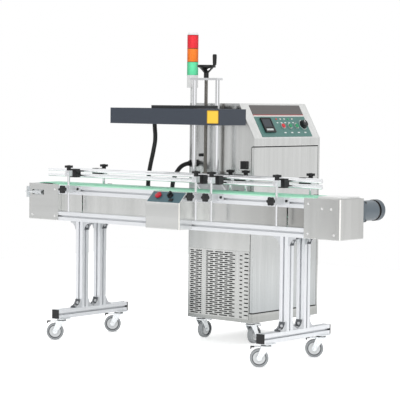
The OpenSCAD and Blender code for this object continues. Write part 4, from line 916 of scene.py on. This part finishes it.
def dress_cabinet():
    """Brushed sheets with painted shade towards the floor and one end, in the slots and gaps and inside, and black
    fittings.
    """
    low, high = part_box("service_panel")
    panel_foot = low.z
    panel = stainless("stainless service panel, brushed upright, with a dark edge", 2)
    # Painted shade: darker towards the floor
    panel.fade("Z", *CABINET_PAINTED_SHADE, 0.66, "#868c8f")
    inside = panel.box((low.x + GAP_SIDES, low.y - BEYOND, low.z + GAP_ENDS),
                       (high.x + BEYOND, high.y - GAP_SIDES, high.z - GAP_ENDS))
    # Painted shade in the gap round the panel: a near black rim
    panel.over(panel.add("Math", 1.0, inside, operation="SUBTRACT"), "#1a1a1b", 0.7)
    dress(panel, "service_panel")
    low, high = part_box("grille_panel")
    grille = stainless("punched stainless grille, dark in its slots", 2)
    # Painted shade: darker towards the floor
    grille.fade("Z", *CABINET_PAINTED_SHADE, 0.55, "#8a8c89")
    # Painted shade: the slots are near black behind the grille's face
    slots = grille.box((low.x, low.y + GRILLE_FACE, low.z), (high.x, high.y + SPARE, high.z))
    dress(grille.over(slots, *PAINTED_SHADE_INSIDE), "grille_panel")
    dress(moulded("black moulded fitting", BLACK), "cabinet_fittings")
    low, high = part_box("cabinet_shell")
    shell = stainless("stainless cabinet sheet, brushed upright, dark inside", 2, BOX_EDGE)
    # Painted shade: darker towards the floor, more so at the foot below the service panel, and darker towards the
    # low X end
    shell.fade("Z", *CABINET_PAINTED_SHADE, 0.45, "#8a8c89")
    shell.fade("Z", panel_foot + FOOT_PAINTED_SHADE, panel_foot - FOOT_PAINTED_SHADE, 0.5, "#7d7f7c")
    shell.fade("X", (low.x + high.x) / 2, low.x, 0.3, "#868c8f")
    # Painted shade: the inside below the sloping face is near black
    below_slope = Vector((high.x, high.y, high.z - CABINET_SLOPE[1])) - SKIN
    dress(shell.over(shell.box(low + SKIN, below_slope), *PAINTED_SHADE_INSIDE), "cabinet_shell")


def dress_control_face():
    """Printed film with lamps, collars and timer on the cabinet's sloping face, and the rotary knob."""
    low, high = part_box("cabinet_shell")
    depth, length = high.y - low.y, math.hypot(*CABINET_SLOPE)
    origin, turn = slope_frame("cabinet_shell", CABINET_SLOPE, "x")
    # Screen-printed film: flat ink under a satin skin with a fine even tooth
    face = Finish("printed control film", FILM, 0.4)
    face.tint((30, 30, 30), 0.15, "#6a918c").grain((2, 2, 2), 0.12)
    place = face.local(origin, turn)

    def area(down, across, heights=PRINT_HEIGHTS):
        return face.box((down[0] * length, across[0] * depth, heights[0]),
                        (down[1] * length, across[1] * depth, heights[1]), place)

    dial_x, dial_y = DIAL_AT[0] * length, DIAL_AT[1] * depth
    for radius, colour in DIAL_RING:
        face.over(face.disc((dial_x, dial_y, 0), radius, place), colour, 0.4)
    for middle in LAMP_PLACES:
        face.over(area(LAMP_MARK_DOWN, (middle - LAMP_HALF, middle + LAMP_HALF)), "#e4e8e6", 0.4)
    for middle in BUTTON_PLACES:
        across = (middle - BUTTON_MARK_HALF, middle + BUTTON_MARK_HALF)
        face.over(area(BUTTON_MARK_DOWN, across), "#e4e8e6", 0.4)
    for start, end, colour in FACE_BANDS:
        face.over(area((start, end), (0, 1)), colour, 0.4)
    face.over(area(TIMER_DOWN, TIMER_ACROSS, (TIMER_RISES, FACE_REACH)), "#101113", 0.35)
    face.over(area(WINDOW_DOWN, WINDOW_ACROSS, WINDOW_HEIGHTS), "#262f38", 0.2)
    face.over(area(KEYS_DOWN, KEYS_ACROSS, (KEYS_RISE, FACE_REACH)), "#c8d0cf", 0.4)
    raised = (LAMP_RISES, FACE_REACH)
    for middle, colour in zip(LAMP_PLACES, LAMP_COLOURS):
        face.over(area(LAMP_DOWN, (middle - LAMP_HALF, middle + LAMP_HALF), raised), colour, 0.3)
    face.over(area(COLLARS_DOWN, COLLARS_ACROSS, raised), "#b9bcbc", 0.35, 0.6)
    dress(face, "control_panel")
    knob = moulded("black rotary knob with a white pointer", BLACK)
    pointer = knob.box((dial_x - POINTER_FAR, dial_y - POINTER_HALF, POINTER_RISES),
                       (dial_x - POINTER_NEAR, dial_y + POINTER_HALF, FACE_REACH), knob.local(origin, turn))
    dress(knob.over(pointer, "#f2f2f2", 0.4), "power_knob")


def dress_head():
    """Column, handwheel, carriage and head, and the tower light's base."""
    low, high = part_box("guide_column")
    column = polished("chromed column posts between satin plates")
    for plate in ((low.z - BEYOND, COLUMN_FOOT), (high.z - TOP_PLATE, high.z + BEYOND)):
        column.over(column.box(*band(low, high, z=plate)), "#dfe0e2", 0.4, 0.7)
    dress(column, "guide_column")
    dress(moulded("black phenolic handwheel", "#0d0e0f", 0.3), "handwheel", "crank_grip")
    dress(enamel("black enamel carriage", "#1d1f23", 0.45), "carriage")
    head = enamel("slate enamel head housing with a black elbow", "#343b46")
    low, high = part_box("sealing_head")
    elbow = (MID.y + HEAD_HALF + ELBOW_GAP, high.y + BEYOND)
    dress(head.over(head.box(*band(low, high, y=elbow)), BLACK, 0.45), "sealing_head")
    dress(moulded("white moulded lamp base", "#e6e6e6", 0.4), "tower_base")


make_room()
make_floor()
make_lamp()
make_camera()
make_hose()
make_lead_screw()
make_lenses()
make_yellow_plate()
make_drive_cover()
dress_conveyor()
dress_gear_motor()
dress_corner_brackets()
dress_control_box()
dress_post_brackets()
for rail_side in ("front", "back"):
    for rail_end in ("tail", "drive"):
        dress_guides(rail_side, rail_end)
dress_casters()
dress_cabinet()
dress_control_face()
dress_head()
